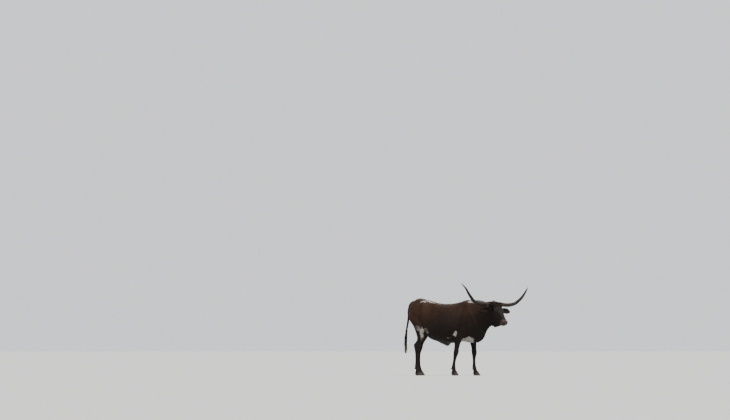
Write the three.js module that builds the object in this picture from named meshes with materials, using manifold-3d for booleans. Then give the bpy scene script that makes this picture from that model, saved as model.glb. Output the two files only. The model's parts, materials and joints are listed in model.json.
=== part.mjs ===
// Texas longhorn steer, life size, standing still with its head turned to its right.
// Lengths are millimetres. +X runs forward along the trunk, +Y to the animal's left, +Z up.
// Every form is a skin of rings lofted through named rows, and each row is one place on the body.
// The forms are joined, then parted by thin cuts where a person would name the parts.

import * as THREE from "three";
import { mergeVertices } from "three/addons/utils/BufferGeometryUtils.js";
import Module from "manifold-3d";

const wasm = await Module();
wasm.setup();

const GAP = 0.3; // clearance that two neighbouring pieces keep
const SIDES = { left: 1, right: -1 };

// Carriage of the head: the middle of the line between the horns, and how the face turns from there.
const POLL = new THREE.Vector3(1040, -155, 1335);
const HEAD_YAW = THREE.MathUtils.degToRad(-38);
const HEAD_PITCH = THREE.MathUtils.degToRad(34);
const HEAD_ROLL = THREE.MathUtils.degToRad(-2.7);

// Stance: each foreleg's line of bone as [height, forward], and how far the left hind foot is set back.
const FORE_BONE = {
  left: [[20, 478], [70, 475], [200, 467], [465, 458], [650, 438], [800, 408], [960, 410], [1140, 440]],
  right: [[20, 172], [70, 176], [200, 196], [465, 246], [650, 292], [800, 344], [960, 386], [1140, 440]],
};
const HIND_STEP = { left: -110, right: 0 };

const EYE_RADIUS = 22;
const EYE_AT = [205, 88, -50]; // in the head's frame: down the face, sideways, out of the forehead
const LID = { half: [29, 19], out: 14, bow: 6, slant: 0.18, radius: 6.5 }; // an almond round the eye
const NOSTRIL = { at: [520, 46, -66], half: [19, 12, 16], turn: [0.45, 0.95, 0.75] };
const NOSTRIL_WING = { at: [508, 42, -66], grow: 5 }; // the raised rim behind each nostril
const MOUTH = { at: [492, 0, -113], blade: [130, 160, 4], tilt: 0.1, depth: 9 };
const HORN_PLANE = 118; // how far sideways the hair of the poll ends and the horn begins
const EAR = { root: [82, 80, -62], length: 254, droop: 16, rings: 11, sides: 12 };
const EAR_PLANE = 0.15; // share of the ear's length where it leaves the head
const TOE_OUT = THREE.MathUtils.degToRad(7);
const CLEFT = 7; // width of the cleft between the two claws of a hoof
const CLAW_HALF = 23; // from the cleft to the middle of a claw
const DEWCLAW = { behind: 20, aside: 19, length: 36, width: 26, thickness: 22 };

// Hair: how many locks, how far apart and how big. Pairs are the least and the most.
const POLL_HAIR = {
  columns: 6, rows: 3, first: -34, apart: [36, 30], stray: 8,
  length: [84, 108], width: [34, 42], thickness: [16, 20],
};
const EAR_HAIR = { count: 5, from: 0.27, step: 0.115, across: [-0.72, -0.35], length: [54, 72] };
const SWITCH_HAIR = { count: 14, from: 0.6, span: 0.34, ring: 8, length: [230, 310], end: 385 };

const materials = {
  hide: new THREE.MeshStandardMaterial({ color: 0x2e1d12, roughness: 0.85, metalness: 0 }),
  switch: new THREE.MeshStandardMaterial({ color: 0x3a2515, roughness: 0.8, metalness: 0 }),
  horn: new THREE.MeshStandardMaterial({ color: 0x463a30, roughness: 0.45, metalness: 0 }),
  hoof: new THREE.MeshStandardMaterial({ color: 0x1f1a16, roughness: 0.55, metalness: 0 }),
  eye: new THREE.MeshStandardMaterial({ color: 0x120b07, roughness: 0.1, metalness: 0 }),
};

// Repeatable randomness for the locks of hair.
let seed = 20240611;
function random(low, high) {
  seed = (Math.imul(seed, 1664525) + 1013904223) >>> 0;
  return low + (high - low) * (seed / 4294967296);
}

// Geometry helpers

function signedPower(value, power) {
  return Math.sign(value) * Math.abs(value) ** power;
}

// Rings of points, all with the same count, closed at both ends by a fan round the ring's middle.
function skinOf(rings) {
  const sides = rings[0].length;
  const points = rings.flat();
  const faces = [];
  for (let ring = 0; ring + 1 < rings.length; ring++) {
    for (let side = 0; side < sides; side++) {
      const a = ring * sides + side;
      const b = ring * sides + ((side + 1) % sides);
      faces.push(a, b, a + sides, b, b + sides, a + sides);
    }
  }
  for (const end of [0, rings.length - 1]) {
    const middle = new THREE.Vector3();
    rings[end].forEach((point) => middle.add(point));
    points.push(middle.divideScalar(sides));
    for (let side = 0; side < sides; side++) {
      const a = end * sides + side;
      const b = end * sides + ((side + 1) % sides);
      const tip = points.length - 1;
      faces.push(...(end === 0 ? [b, a, tip] : [a, b, tip]));
    }
  }
  return new THREE.BufferGeometry().setFromPoints(points).setIndex(faces);
}

// A closed indexed geometry as a solid whose faces point out.
function solidOf(geometry) {
  const vertProperties = Float32Array.from(geometry.getAttribute("position").array);
  const triVerts = Uint32Array.from(geometry.index.array);
  const made = new wasm.Manifold(new wasm.Mesh({ numProp: 3, vertProperties, triVerts }));
  if (made.volume() > 0) return made;
  for (let i = 0; i < triVerts.length; i += 3) {
    [triVerts[i + 1], triVerts[i + 2]] = [triVerts[i + 2], triVerts[i + 1]];
  }
  return new wasm.Manifold(new wasm.Mesh({ numProp: 3, vertProperties, triVerts }));
}

// One of three.js's own shapes as a solid, placed by a matrix.
function shapeSolid(shape, matrix) {
  shape.deleteAttribute("normal");
  shape.deleteAttribute("uv");
  return solidOf(mergeVertices(shape.applyMatrix4(matrix), 0.01));
}

function geometryOf(solid) {
  const mesh = solid.getMesh();
  const positions = new Float32Array(mesh.numVert * 3);
  for (let i = 0; i < mesh.numVert; i++) {
    positions.set(mesh.vertProperties.subarray(i * mesh.numProp, i * mesh.numProp + 3), i * 3);
  }
  const geometry = new THREE.BufferGeometry();
  geometry.setAttribute("position", new THREE.BufferAttribute(positions, 3));
  geometry.setIndex(new THREE.BufferAttribute(mesh.triVerts, 1));
  geometry.computeVertexNormals();
  return geometry;
}

function joined(solids) {
  return solids.reduce((whole, solid) => whole.add(solid));
}

function carved(solid, cutters) {
  return cutters.reduce((rest, cutter) => rest.subtract(cutter), solid);
}

// The largest closed surface of a solid: it fills a sealed hollow and drops a loose scrap.
function largest(solid) {
  const bodies = solid.decompose();
  return bodies.reduce((best, body) => (body.volume() > best.volume() ? body : best));
}

// The two sides of a thin cut along a plane: ahead of its normal, and behind it.
function parted(solid, { normal, constant }) {
  const ahead = solid.trimByPlane(normal.toArray(), -constant + GAP / 2);
  const behind = solid.trimByPlane(normal.clone().negate().toArray(), constant + GAP / 2);
  return [ahead, behind];
}

function planeThrough(point, normal) {
  return new THREE.Plane().setFromNormalAndCoplanarPoint(normal.clone().normalize(), point);
}

function curveThrough(points) {
  return new THREE.CatmullRomCurve3(points.map((point) => new THREE.Vector3(...point)));
}

// Reads a list of [place, value] smoothly between its places.
function smoothLine(list) {
  const reader = new THREE.CubicInterpolant(list.map(([at]) => at), list.map(([, value]) => value), 1);
  return (at) => reader.evaluate(at)[0];
}

// A form: rows of sizes read smoothly between their places, drawn as rings of superellipses.
// Each row is [name, at, low, high, half, widest, low fullness, high fullness, sideways].
class Form {
  constructor({ rows, rings, sides, place, relief = () => 0, crowd = 0.5 }) {
    const values = rows.flatMap((row) => [...row.slice(2, 8), row[8] ?? 0]);
    const places = rows.map((row) => row[1]);
    this.from = places[0];
    this.to = places[places.length - 1];
    this.reader = new THREE.CubicInterpolant(places, values, 7);
    Object.assign(this, { rings, sides, place, relief, crowd });
  }

  // The skin's point at one place and angle. Angle 0 is the left flank, and a quarter turn the high edge.
  point(at, angle, grow = 0) {
    const [low, high, half, widest, lowFull, highFull, sideways] = this.reader.evaluate(at);
    const cosine = Math.cos(angle);
    const sine = Math.sin(angle);
    const power = 2 / (sine > 0 ? highFull : lowFull);
    const reach = sine > 0 ? high - widest : widest - low;
    const across = signedPower(cosine, power) * (half + grow);
    const along = signedPower(sine, power) * (reach + grow);
    const raised = this.relief(at, across, widest + along);
    const out = new THREE.Vector2(across, along).normalize().multiplyScalar(raised);
    const end = at === this.from ? -grow : at === this.to ? grow : 0;
    return this.place(at + end, across + out.x, widest + along + out.y, sideways);
  }

  solid(grow = 0) {
    const rings = [];
    for (let i = 0; i < this.rings; i++) {
      const even = i / (this.rings - 1);
      const crowded = 0.5 - 0.5 * Math.cos(Math.PI * even);
      const share = THREE.MathUtils.lerp(even, crowded, this.crowd);
      const at = i === this.rings - 1 ? this.to : THREE.MathUtils.lerp(this.from, this.to, share);
      const ring = [];
      for (let j = 0; j < this.sides; j++) {
        ring.push(this.point(at, (2 * Math.PI * j) / this.sides, grow));
      }
      rings.push(ring);
    }
    return solidOf(skinOf(rings));
  }
}

// Soft swellings and hollows, alike on both sides: [name, at, across, along, spread, height].
function swellings(list) {
  return (x, y, z) => {
    let total = 0;
    for (const [, at, across, along, spread, height] of list) {
      const distance = (x - at) ** 2 + (Math.abs(y) - across) ** 2 + (z - along) ** 2;
      total += height * Math.exp(-distance / (2 * spread * spread));
    }
    return total;
  };
}

// A round form along a curve: radii as [share of the length, radius]. The curve never runs along upwards.
function rope(curve, radii, rings, sides, upwards) {
  const rows = radii.map(([share, radius]) => ["", share, -radius, radius, radius, 0, 2, 2]);
  const place = (share, across, along) => {
    const tangent = curve.getTangentAt(share);
    const sideways = new THREE.Vector3().crossVectors(upwards, tangent).normalize();
    const up = new THREE.Vector3().crossVectors(tangent, sideways);
    return curve.getPointAt(share).addScaledVector(sideways, across).addScaledVector(up, along);
  };
  return new Form({ rows, rings, sides, place, crowd: 0.1 }).solid();
}

// A flat tapered lock of hair that leaves its root along one direction and bends towards another.
function lock(root, leave, bend, length, width, thickness, rings = 4, sides = 5) {
  const first = leave.clone().normalize().multiplyScalar(length * 0.5);
  const last = bend.clone().normalize().multiplyScalar(length * 0.5);
  const knee = root.clone().add(first);
  const curve = new THREE.QuadraticBezierCurve3(root, knee, knee.clone().add(last));
  const flatSide = new THREE.Vector3().crossVectors(leave, bend);
  if (flatSide.length() < 0.05) flatSide.set(leave.y, -leave.x, 0.1);
  flatSide.normalize();
  const outline = [];
  for (let i = 0; i < rings; i++) {
    const share = i / (rings - 1);
    const normal = new THREE.Vector3().crossVectors(curve.getTangent(share), flatSide).normalize();
    const taper = (1 - 0.93 * share ** 1.6) * 0.5;
    const ring = [];
    for (let j = 0; j < sides; j++) {
      const angle = (2 * Math.PI * j) / sides;
      const point = curve.getPoint(share);
      point.addScaledVector(flatSide, Math.cos(angle) * width * taper);
      ring.push(point.addScaledVector(normal, Math.sin(angle) * thickness * taper));
    }
    outline.push(ring);
  }
  return solidOf(skinOf(outline));
}

// Trunk, from the pin bones to the point of the brisket

const upright = (x, across, z) => new THREE.Vector3(x, across, z);

const trunkForm = new Form({
  rings: 28,
  sides: 26,
  crowd: 0.75,
  place: upright,
  rows: [
    // name             x    under   top  half  widest  full below, above
    ["rump end", -796, 1105, 1232, 30, 1180, 2, 2],
    ["pin bones", -772, 1025, 1312, 100, 1195, 2, 2.1],
    ["tail head", -712, 950, 1386, 163, 1190, 2, 2],
    ["sacrum", -610, 905, 1448, 206, 1170, 2, 2],
    ["rump", -510, 860, 1440, 222, 1140, 2, 2.1],
    ["hooks", -420, 725, 1416, 230, 1110, 2, 2.3],
    ["flank", -320, 668, 1392, 246, 1030, 2.1, 2.2],
    ["loin", -200, 632, 1360, 284, 960, 2.2, 2],
    ["belly", -40, 604, 1348, 316, 930, 2.2, 1.9],
    ["barrel", 110, 602, 1356, 312, 930, 2.1, 1.8],
    ["girth", 240, 622, 1374, 276, 950, 1.9, 1.65],
    ["elbow", 350, 628, 1408, 240, 980, 1.75, 1.5],
    ["shoulder", 460, 606, 1421, 224, 990, 1.7, 1.45],
    ["shoulder front", 570, 612, 1408, 208, 980, 1.7, 1.5],
    ["shoulder point", 660, 652, 1372, 182, 965, 1.8, 1.7],
    ["breast", 735, 730, 1260, 132, 960, 2, 2],
    ["breast end", 785, 840, 1110, 60, 970, 2, 2],
  ],
  relief: swellings([
    ["hook bone", -425, 205, 1345, 44, 40],
    ["pin bone", -780, 95, 1225, 42, 22],
    ["hip joint", -615, 215, 1190, 75, 14],
    ["hunger hollow", -300, 240, 1235, 62, -26],
    ["shoulder blade top", 465, 110, 1330, 60, 16],
    ["shoulder blade", 540, 185, 1180, 75, 22],
    ["shoulder point", 660, 180, 950, 62, 26],
    ["upper arm", 480, 215, 900, 85, 24],
    ["girth hollow", 290, 250, 1110, 70, -12],
  ]),
});

const sheathForm = new Form({
  rings: 9,
  sides: 12,
  place: upright,
  rows: [
    // name       x   under  top  half  widest  full below, above
    ["back", -290, 668, 700, 14, 684, 2, 2],
    ["fold", -130, 592, 680, 34, 640, 1.8, 2],
    ["mouth", -10, 558, 680, 42, 622, 1.7, 2],
    ["front", 50, 586, 680, 32, 630, 1.8, 2],
    ["tip", 82, 622, 680, 18, 650, 2, 2],
  ],
});

// Neck with its dewlap: its rings stand upright on a line that bends to the right.

const neckLine = curveThrough([
  [430, 0, 0],
  [600, -4, 0],
  [760, -34, 0],
  [900, -88, 0],
  [1010, -148, 0],
  [1062, -182, 0],
]);

const neckForm = new Form({
  rings: 15,
  sides: 24,
  crowd: 0.15,
  place: (share, across, z) => {
    const along = neckLine.getTangentAt(share);
    const point = neckLine.getPointAt(share);
    return new THREE.Vector3(point.x - along.y * across, point.y + along.x * across, z);
  },
  rows: [
    // name          share  under   top  half  widest  full below, above
    ["shoulder", 0, 640, 1400, 190, 1060, 1.8, 1.5],
    ["brisket", 0.254, 606, 1417, 192, 1055, 1.7, 1.5],
    ["neck base", 0.4, 642, 1408, 176, 1070, 1.5, 1.5],
    ["dewlap", 0.5, 706, 1391, 152, 1100, 1.25, 1.6],
    ["crest", 0.58, 802, 1358, 136, 1130, 1.1, 1.7],
    ["mid neck", 0.68, 880, 1338, 124, 1145, 1.15, 1.8],
    ["throat", 0.8, 920, 1342, 110, 1160, 1.2, 1.9],
    ["poll", 0.9, 912, 1342, 98, 1165, 1.2, 2],
    ["inside head", 1, 925, 1300, 74, 1150, 1.3, 2],
  ],
});

// Head, lofted from the poll to the muzzle in a frame of its own:
// x runs down the face, y to the animal's left, and z out of the forehead.

const headMatrix = new THREE.Matrix4()
  .makeRotationFromEuler(new THREE.Euler(HEAD_ROLL, HEAD_PITCH, HEAD_YAW, "ZYX"))
  .setPosition(POLL);

function onHead(x, y, z) {
  return new THREE.Vector3(x, y, z).applyMatrix4(headMatrix);
}

function headDirection(x, y, z) {
  return new THREE.Vector3(x, y, z).transformDirection(headMatrix);
}

const headForm = new Form({
  rings: 27,
  sides: 24,
  crowd: 0.55,
  place: onHead,
  rows: [
    // name        down the face  jaw  brow  half  widest  full below, above
    ["back of poll", -80, -80, -10, 36, -45, 2, 2],
    ["nape", -66, -115, 14, 68, -45, 2, 2],
    ["poll", -30, -165, 42, 98, -40, 2.1, 2.2],
    ["horn line", 10, -196, 44, 108, -40, 2.1, 2.4],
    ["forehead", 80, -222, 36, 106, -50, 2.1, 2.6],
    ["brow", 150, -234, 28, 102, -55, 2.1, 2.8],
    ["eyes", 210, -228, 17, 97, -60, 2.1, 2.7],
    ["cheek", 285, -202, 4, 80, -68, 2.2, 2.5],
    ["nose", 365, -172, -8, 66, -78, 2.3, 2.5],
    ["muzzle", 430, -154, -20, 64, -86, 2.4, 2.4],
    ["nostrils", 480, -148, -30, 70, -88, 2.6, 2.4],
    ["nose pad", 512, -140, -40, 67, -88, 2.5, 2.4],
    ["lip", 530, -126, -54, 54, -88, 2.4, 2.3],
    ["nose end", 539, -104, -72, 28, -88, 2.2, 2.2],
  ],
  relief: swellings([
    ["brow ridge", 185, 90, -18, 26, 12],
    ["cheek bone", 255, 82, -72, 30, 7],
    ["jaw muscle", 190, 92, -160, 48, 10],
    ["temple", 110, 100, -60, 36, -8],
    ["chin", 488, 20, -144, 22, 6],
    ["upper lip", 500, 56, -92, 20, 6],
    ["nostril wing", 505, 46, -52, 14, 6],
  ]),
});

// The loose skin under the jaw, which hangs from the chin back to the dewlap.
const throatForm = new Form({
  rings: 10,
  sides: 12,
  place: onHead,
  rows: [
    // name        down the face  edge  top  half  widest  full below, above
    ["inside neck", 150, -372, -150, 56, -200, 1.2, 2],
    ["throat bump", 255, -356, -140, 54, -180, 1.1, 2],
    ["under jaw", 330, -298, -120, 44, -165, 1.15, 2],
    ["web", 400, -232, -110, 38, -140, 1.3, 2],
    ["chin", 455, -178, -100, 34, -125, 1.6, 2],
    ["chin end", 490, -145, -100, 26, -120, 2, 2],
  ],
});

// Horns: [sideways, forward, height] from the poll's own upright line, before the head is turned.
const hornPath = [
  [50, 0, 1337],
  [98, -10, 1335],
  [196, -20, 1330],
  [314, -30, 1337],
  [424, -30, 1370],
  [482, -5, 1420],
  [554, 12, 1498],
  [626, 4, 1598],
  [704, -54, 1687],
];
const hornRadii = [[0, 37], [0.12, 37], [0.35, 33], [0.55, 27], [0.75, 19], [0.9, 10], [1, 2.5]];

function hornSolid(side) {
  const turn = new THREE.Matrix4()
    .makeRotationFromEuler(new THREE.Euler(HEAD_ROLL, 0, HEAD_YAW, "ZYX"))
    .setPosition(POLL);
  const curve = new THREE.CatmullRomCurve3(
    hornPath.map(([sideways, forward, height]) =>
      new THREE.Vector3(forward, side * sideways, height - POLL.z).applyMatrix4(turn),
    ),
  );
  return rope(curve, hornRadii, 19, 10, headDirection(1, 0, 0));
}

// Ears: a cupped leaf, drawn along its own length as x with the hollow facing forward.
const earShape = new THREE.CubicInterpolant(
  [0, 0.1, 0.22, 0.4, 0.62, 0.82, 0.95, 1],
  [
    // half width, depth of the hollow, thickness
    [19, 0, 34],
    [20, 4, 32],
    [33, 22, 20],
    [46, 26, 13],
    [50, 20, 11],
    [36, 11, 9],
    [17, 4, 7],
    [5, 0, 5],
  ].flat(),
  3,
);

function earMatrix(side) {
  const outward = headDirection(-0.08, side * 0.97, -0.24);
  const facing = headDirection(0.92, side * 0.27, 0.28);
  const upward = new THREE.Vector3().crossVectors(facing, outward).multiplyScalar(side).normalize();
  const hollow = new THREE.Vector3().crossVectors(outward, upward).multiplyScalar(side).normalize();
  const [x, y, z] = EAR.root;
  return new THREE.Matrix4().makeBasis(outward, upward, hollow).setPosition(onHead(x, side * y, z));
}

function earPoint(share, across, front) {
  const [half, cup, thickness] = earShape.evaluate(share);
  const bow = -cup * (1 - across * across);
  const droop = -EAR.droop * share * share;
  return new THREE.Vector3(share * EAR.length, half * across + droop, bow + front * thickness * 0.5);
}

function earSolid(side) {
  const matrix = earMatrix(side);
  const rings = [];
  for (let i = 0; i < EAR.rings; i++) {
    const share = i / (EAR.rings - 1);
    const ring = [];
    for (let j = 0; j < EAR.sides; j++) {
      const angle = (2 * Math.PI * j) / EAR.sides;
      ring.push(earPoint(share, Math.cos(angle), Math.sin(angle)).applyMatrix4(matrix));
    }
    rings.push(ring);
  }
  return solidOf(skinOf(rings));
}

// Hair that spills out of the hollow of the ear.
function earLocks(side) {
  const matrix = earMatrix(side);
  const locks = [];
  for (let i = 0; i < EAR_HAIR.count; i++) {
    const share = EAR_HAIR.from + EAR_HAIR.step * i;
    const root = earPoint(share, random(...EAR_HAIR.across), 0).applyMatrix4(matrix);
    const leave = new THREE.Vector3(0.6, -0.7, 1).transformDirection(matrix);
    const bend = new THREE.Vector3(1, random(-1, -0.6), 0.1).transformDirection(matrix);
    const length = random(...EAR_HAIR.length) * (1 - 0.35 * share);
    locks.push(lock(root, leave, bend, length, 22, 9, 4, 4));
  }
  return locks;
}

// Face details

function eyeSolid(side, grow = 0) {
  const [x, y, z] = EYE_AT;
  const ball = new THREE.SphereGeometry(EYE_RADIUS + grow, 12, 9);
  return shapeSolid(ball, new THREE.Matrix4().setPosition(onHead(x, side * y, z)));
}

// A closed almond of soft skin round the eye, set a little aslant along the face.
function lidSolid(side) {
  const [x, y, z] = EYE_AT;
  const points = [];
  for (let i = 0; i < 10; i++) {
    const angle = (2 * Math.PI * i) / 10;
    const along = Math.cos(angle) * LID.half[0];
    const up = Math.sin(angle) * LID.half[1];
    const out = LID.out - Math.cos(angle) ** 2 * LID.bow;
    points.push(onHead(x + along, side * (y + out), z + up - along * LID.slant));
  }
  const almond = new THREE.CatmullRomCurve3(points, true);
  const ring = new THREE.TubeGeometry(almond, 14, LID.radius, 6, true);
  return shapeSolid(ring, new THREE.Matrix4());
}

function nostrilSolid(side, [x, y, z], grow = 0) {
  const [roll, pitch, yaw] = NOSTRIL.turn;
  const local = new THREE.Matrix4()
    .makeRotationFromEuler(new THREE.Euler(side * roll, pitch, side * yaw, "ZYX"))
    .scale(new THREE.Vector3(...NOSTRIL.half).addScalar(grow))
    .setPosition(x, side * y, z);
  return shapeSolid(new THREE.SphereGeometry(1, 9, 6), headMatrix.clone().multiply(local));
}

// The line of the mouth: a thin tilted blade that cuts only a little way in from the skin.
function mouthCutter() {
  const local = new THREE.Matrix4().makeRotationY(MOUTH.tilt).setPosition(...MOUTH.at);
  const blade = shapeSolid(new THREE.BoxGeometry(...MOUTH.blade), headMatrix.clone().multiply(local));
  return blade.subtract(headForm.solid(-MOUTH.depth));
}

// The curly tuft between the horns, falling over the brow.
function pollLocks() {
  const locks = [];
  const { columns, rows, first, apart, stray, length, width, thickness } = POLL_HAIR;
  for (let i = 0; i < columns * rows; i++) {
    const column = (i % columns) - (columns - 1) / 2;
    const row = Math.floor(i / columns);
    const x = first + row * apart[0] + random(-stray, stray);
    const y = column * apart[1] + random(-stray, stray);
    // the roots follow the rounded top of the skull
    const rise = 38 - 0.0022 * y * y - Math.max(0, -x - 20) * 0.7;
    const root = onHead(x, y, rise);
    const leave = headDirection(0.5, y / 120, 0.75);
    const bend = headDirection(1, y / 90 + random(-0.35, 0.35), -0.22);
    locks.push(lock(root, leave, bend, random(...length), random(...width), random(...thickness), 4, 4));
  }
  return locks;
}

// Legs: rings lie flat at a height, and a line of bone carries them forward or back.

function legForm({ rows, rings, bone, side }) {
  const line = smoothLine(bone);
  const place = (z, across, along, y) => new THREE.Vector3(line(z) + along, side * (y + across), z);
  return new Form({ rows, rings, sides: 13, place, crowd: 0 });
}

const foreRows = [
  // name        z  back  front  half  widest  full back, front, out from the middle
  ["in sole", 20, -26, 84, 52, 25, 2.2, 1.9, 152],
  ["coronet", 60, -24, 72, 51, 22, 2.2, 1.9, 152],
  ["pastern", 90, -22, 58, 45, 16, 2.1, 2, 153],
  ["short pastern", 120, -30, 42, 37, 6, 2, 2, 154],
  ["fetlock", 155, -42, 36, 39, -4, 2, 2, 156],
  ["above fetlock", 192, -39, 29, 32, -6, 2, 2, 158],
  ["cannon low", 235, -33, 26, 27, -4, 2.1, 2, 160],
  ["cannon", 305, -33, 27, 28, -3, 2.1, 2, 162],
  ["below knee", 358, -38, 33, 36, 0, 2.1, 2.2, 164],
  ["knee low", 395, -45, 46, 45, 2, 2.1, 2.3, 165],
  ["knee", 432, -46, 51, 47, 3, 2.1, 2.3, 166],
  ["knee top", 468, -44, 46, 43, 1, 2.1, 2.2, 168],
  ["forearm low", 520, -52, 47, 43, 0, 2, 2, 170],
  ["forearm", 600, -66, 57, 49, -2, 2, 2, 174],
  ["forearm top", 700, -84, 74, 56, -2, 2, 1.9, 180],
  ["elbow", 790, -112, 104, 62, 0, 2, 1.8, 184],
  ["upper arm", 880, -146, 152, 64, 4, 2, 1.7, 182],
  ["shoulder", 970, -166, 200, 56, 10, 2, 1.7, 178],
  ["shoulder top", 1060, -156, 220, 42, 20, 2, 1.8, 168],
  ["in chest", 1150, -110, 180, 24, 30, 2, 2, 152],
];

const hindRows = [
  // name        z  back  front  half  widest  full back, front, out from the middle
  ["in sole", 20, -590, -480, 51, -539, 2.2, 1.9, 168],
  ["coronet", 60, -588, -492, 50, -542, 2.2, 1.9, 168],
  ["pastern", 90, -584, -506, 44, -548, 2.1, 2, 167],
  ["short pastern", 120, -592, -522, 37, -558, 2, 2, 166],
  ["fetlock", 158, -608, -530, 40, -568, 2, 2, 165],
  ["above fetlock", 195, -606, -538, 33, -571, 2, 2, 164],
  ["cannon low", 245, -600, -541, 28, -571, 2.1, 2, 163],
  ["cannon", 330, -600, -540, 29, -570, 2.1, 2, 162],
  ["below hock", 410, -602, -534, 34, -568, 2.1, 2, 162],
  ["hock low", 460, -608, -519, 41, -562, 2.2, 2, 162],
  ["hock", 505, -619, -503, 45, -555, 2.3, 2, 163],
  ["hock top", 548, -629, -492, 43, -550, 2.3, 2, 163],
  ["point of hock", 582, -628, -486, 40, -545, 2.2, 2, 162],
  ["tendon", 618, -596, -472, 41, -530, 2, 2, 161],
  ["gaskin low", 660, -570, -452, 49, -512, 2, 2, 159],
  ["gaskin", 710, -564, -425, 58, -500, 2, 2, 156],
  ["gaskin top", 770, -582, -408, 70, -500, 2, 2, 152],
  ["stifle", 850, -618, -398, 82, -515, 2, 1.9, 147],
  ["thigh", 930, -664, -396, 91, -535, 2, 1.8, 140],
  ["buttock", 1010, -722, -392, 94, -565, 2, 1.6, 132],
  ["hip", 1090, -764, -392, 92, -595, 2, 1.5, 124],
  ["in rump", 1180, -748, -410, 82, -600, 2, 1.5, 114],
];

function hindBone(side) {
  const step = HIND_STEP[side];
  return [[20, step], [300, step], [560, step * 0.95], [760, step * 0.6], [940, step * 0.25], [1180, 0]];
}

// Where each leg is parted, from where its foot is turned, and how its upper cut leans.
const legPlans = {
  foreleg: {
    rows: foreRows, rings: 27, bone: (side) => FORE_BONE[side],
    middleX: 0, footX: 0, topZ: 788, kneeZ: 498, lean: 0.25, dewclawZ: 134,
  },
  hindleg: {
    rows: hindRows, rings: 30, bone: hindBone,
    middleX: -510, footX: -566, topZ: 836, kneeZ: 622, lean: -0.35, dewclawZ: 138,
  },
};

// Hooves: each claw is a stack of rings with its inner face cut flat along the cleft.
const clawRows = [
  // name   z  heel  toe  half  widest  full heel, toe
  ["sole", 0, -4, 112, 28, 40, 2.3, 1.55],
  ["wall low", 14, -10, 105, 28, 38, 2.3, 1.6],
  ["wall", 40, -19, 88, 27, 28, 2.3, 1.7],
  ["coronet", 84, -27, 60, 24, 12, 2.2, 1.9],
];

function clawSolid(foot, outer, coronetPlane) {
  const middle = outer * (CLEFT / 2 + CLAW_HALF);
  const place = (z, across, along) => new THREE.Vector3(along, middle + across, z).applyMatrix4(foot);
  const form = new Form({ rows: clawRows, rings: 5, sides: 14, place, crowd: 0 });
  const inner = planeThrough(
    new THREE.Vector3(0, (outer * CLEFT) / 2, 0).applyMatrix4(foot),
    new THREE.Vector3(0, outer, 0).transformDirection(foot),
  );
  const halved = form.solid().trimByPlane(inner.normal.toArray(), -inner.constant);
  return parted(halved, coronetPlane)[1];
}

function dewclaws(foot, z) {
  return [-1, 1].map((hand) => {
    const root = new THREE.Vector3(-DEWCLAW.behind, hand * DEWCLAW.aside, z).applyMatrix4(foot);
    const leave = new THREE.Vector3(-1, hand * 0.25, -0.6).transformDirection(foot);
    const bend = new THREE.Vector3(-0.1, hand * 0.1, -1).transformDirection(foot);
    return lock(root, leave, bend, DEWCLAW.length, DEWCLAW.width, DEWCLAW.thickness, 4, 6);
  });
}

// Tail: dock, lower tail and the switch of long hair

const tailLine = curveThrough([
  [-670, 0, 1372],
  [-730, 0, 1362],
  [-786, 0, 1300],
  [-812, 0, 1205],
  [-817, 2, 1100],
  [-832, 5, 1000],
  [-853, 8, 900],
  [-870, 9, 780],
  [-876, 6, 660],
  [-874, 3, 560],
]);
const tailRadii = [
  [0, 40], [0.08, 38], [0.2, 29], [0.35, 24], [0.5, 21], [0.7, 18], [0.85, 15], [1, 9],
];
const TAIL_SHARES = { root: 0.12, middle: 0.45, switch: 0.62 };

function switchLocks() {
  const { count, from, span, ring, end } = SWITCH_HAIR;
  const locks = [];
  for (let i = 0; i < count; i++) {
    const share = from + (span * i) / (count - 1) + random(-0.015, 0.015);
    const turn = i * 2.4 + random(-0.3, 0.3);
    const root = tailLine.getPointAt(share);
    root.add(new THREE.Vector3(Math.cos(turn) * ring, Math.sin(turn) * ring, 0));
    const leave = new THREE.Vector3(Math.cos(turn) * 0.12, Math.sin(turn) * 0.13, -1);
    const bend = new THREE.Vector3(Math.cos(turn) * -0.08 - 0.03, Math.sin(turn) * -0.02, -1);
    const length = Math.min(random(...SWITCH_HAIR.length), root.z - end + random(-5, 30));
    locks.push(lock(root, leave, bend, length, 28, 15, 4, 4));
  }
  return locks;
}

// Assembly

const group = new THREE.Group();

function addNode(name, solid, material) {
  const mesh = new THREE.Mesh(geometryOf(largest(solid)), material);
  mesh.name = name;
  group.add(mesh);
}

function tailPlane(share) {
  return planeThrough(tailLine.getPointAt(share), tailLine.getTangentAt(share));
}

const trunkClearance = joined([trunkForm.solid(GAP * 1.5), sheathForm.solid(GAP * 1.5)]);
const tailRope = rope(tailLine, tailRadii, 30, 9, new THREE.Vector3(0, 1, 0));
const [tail, tailRoot] = parted(tailRope, tailPlane(TAIL_SHARES.root));

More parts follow.
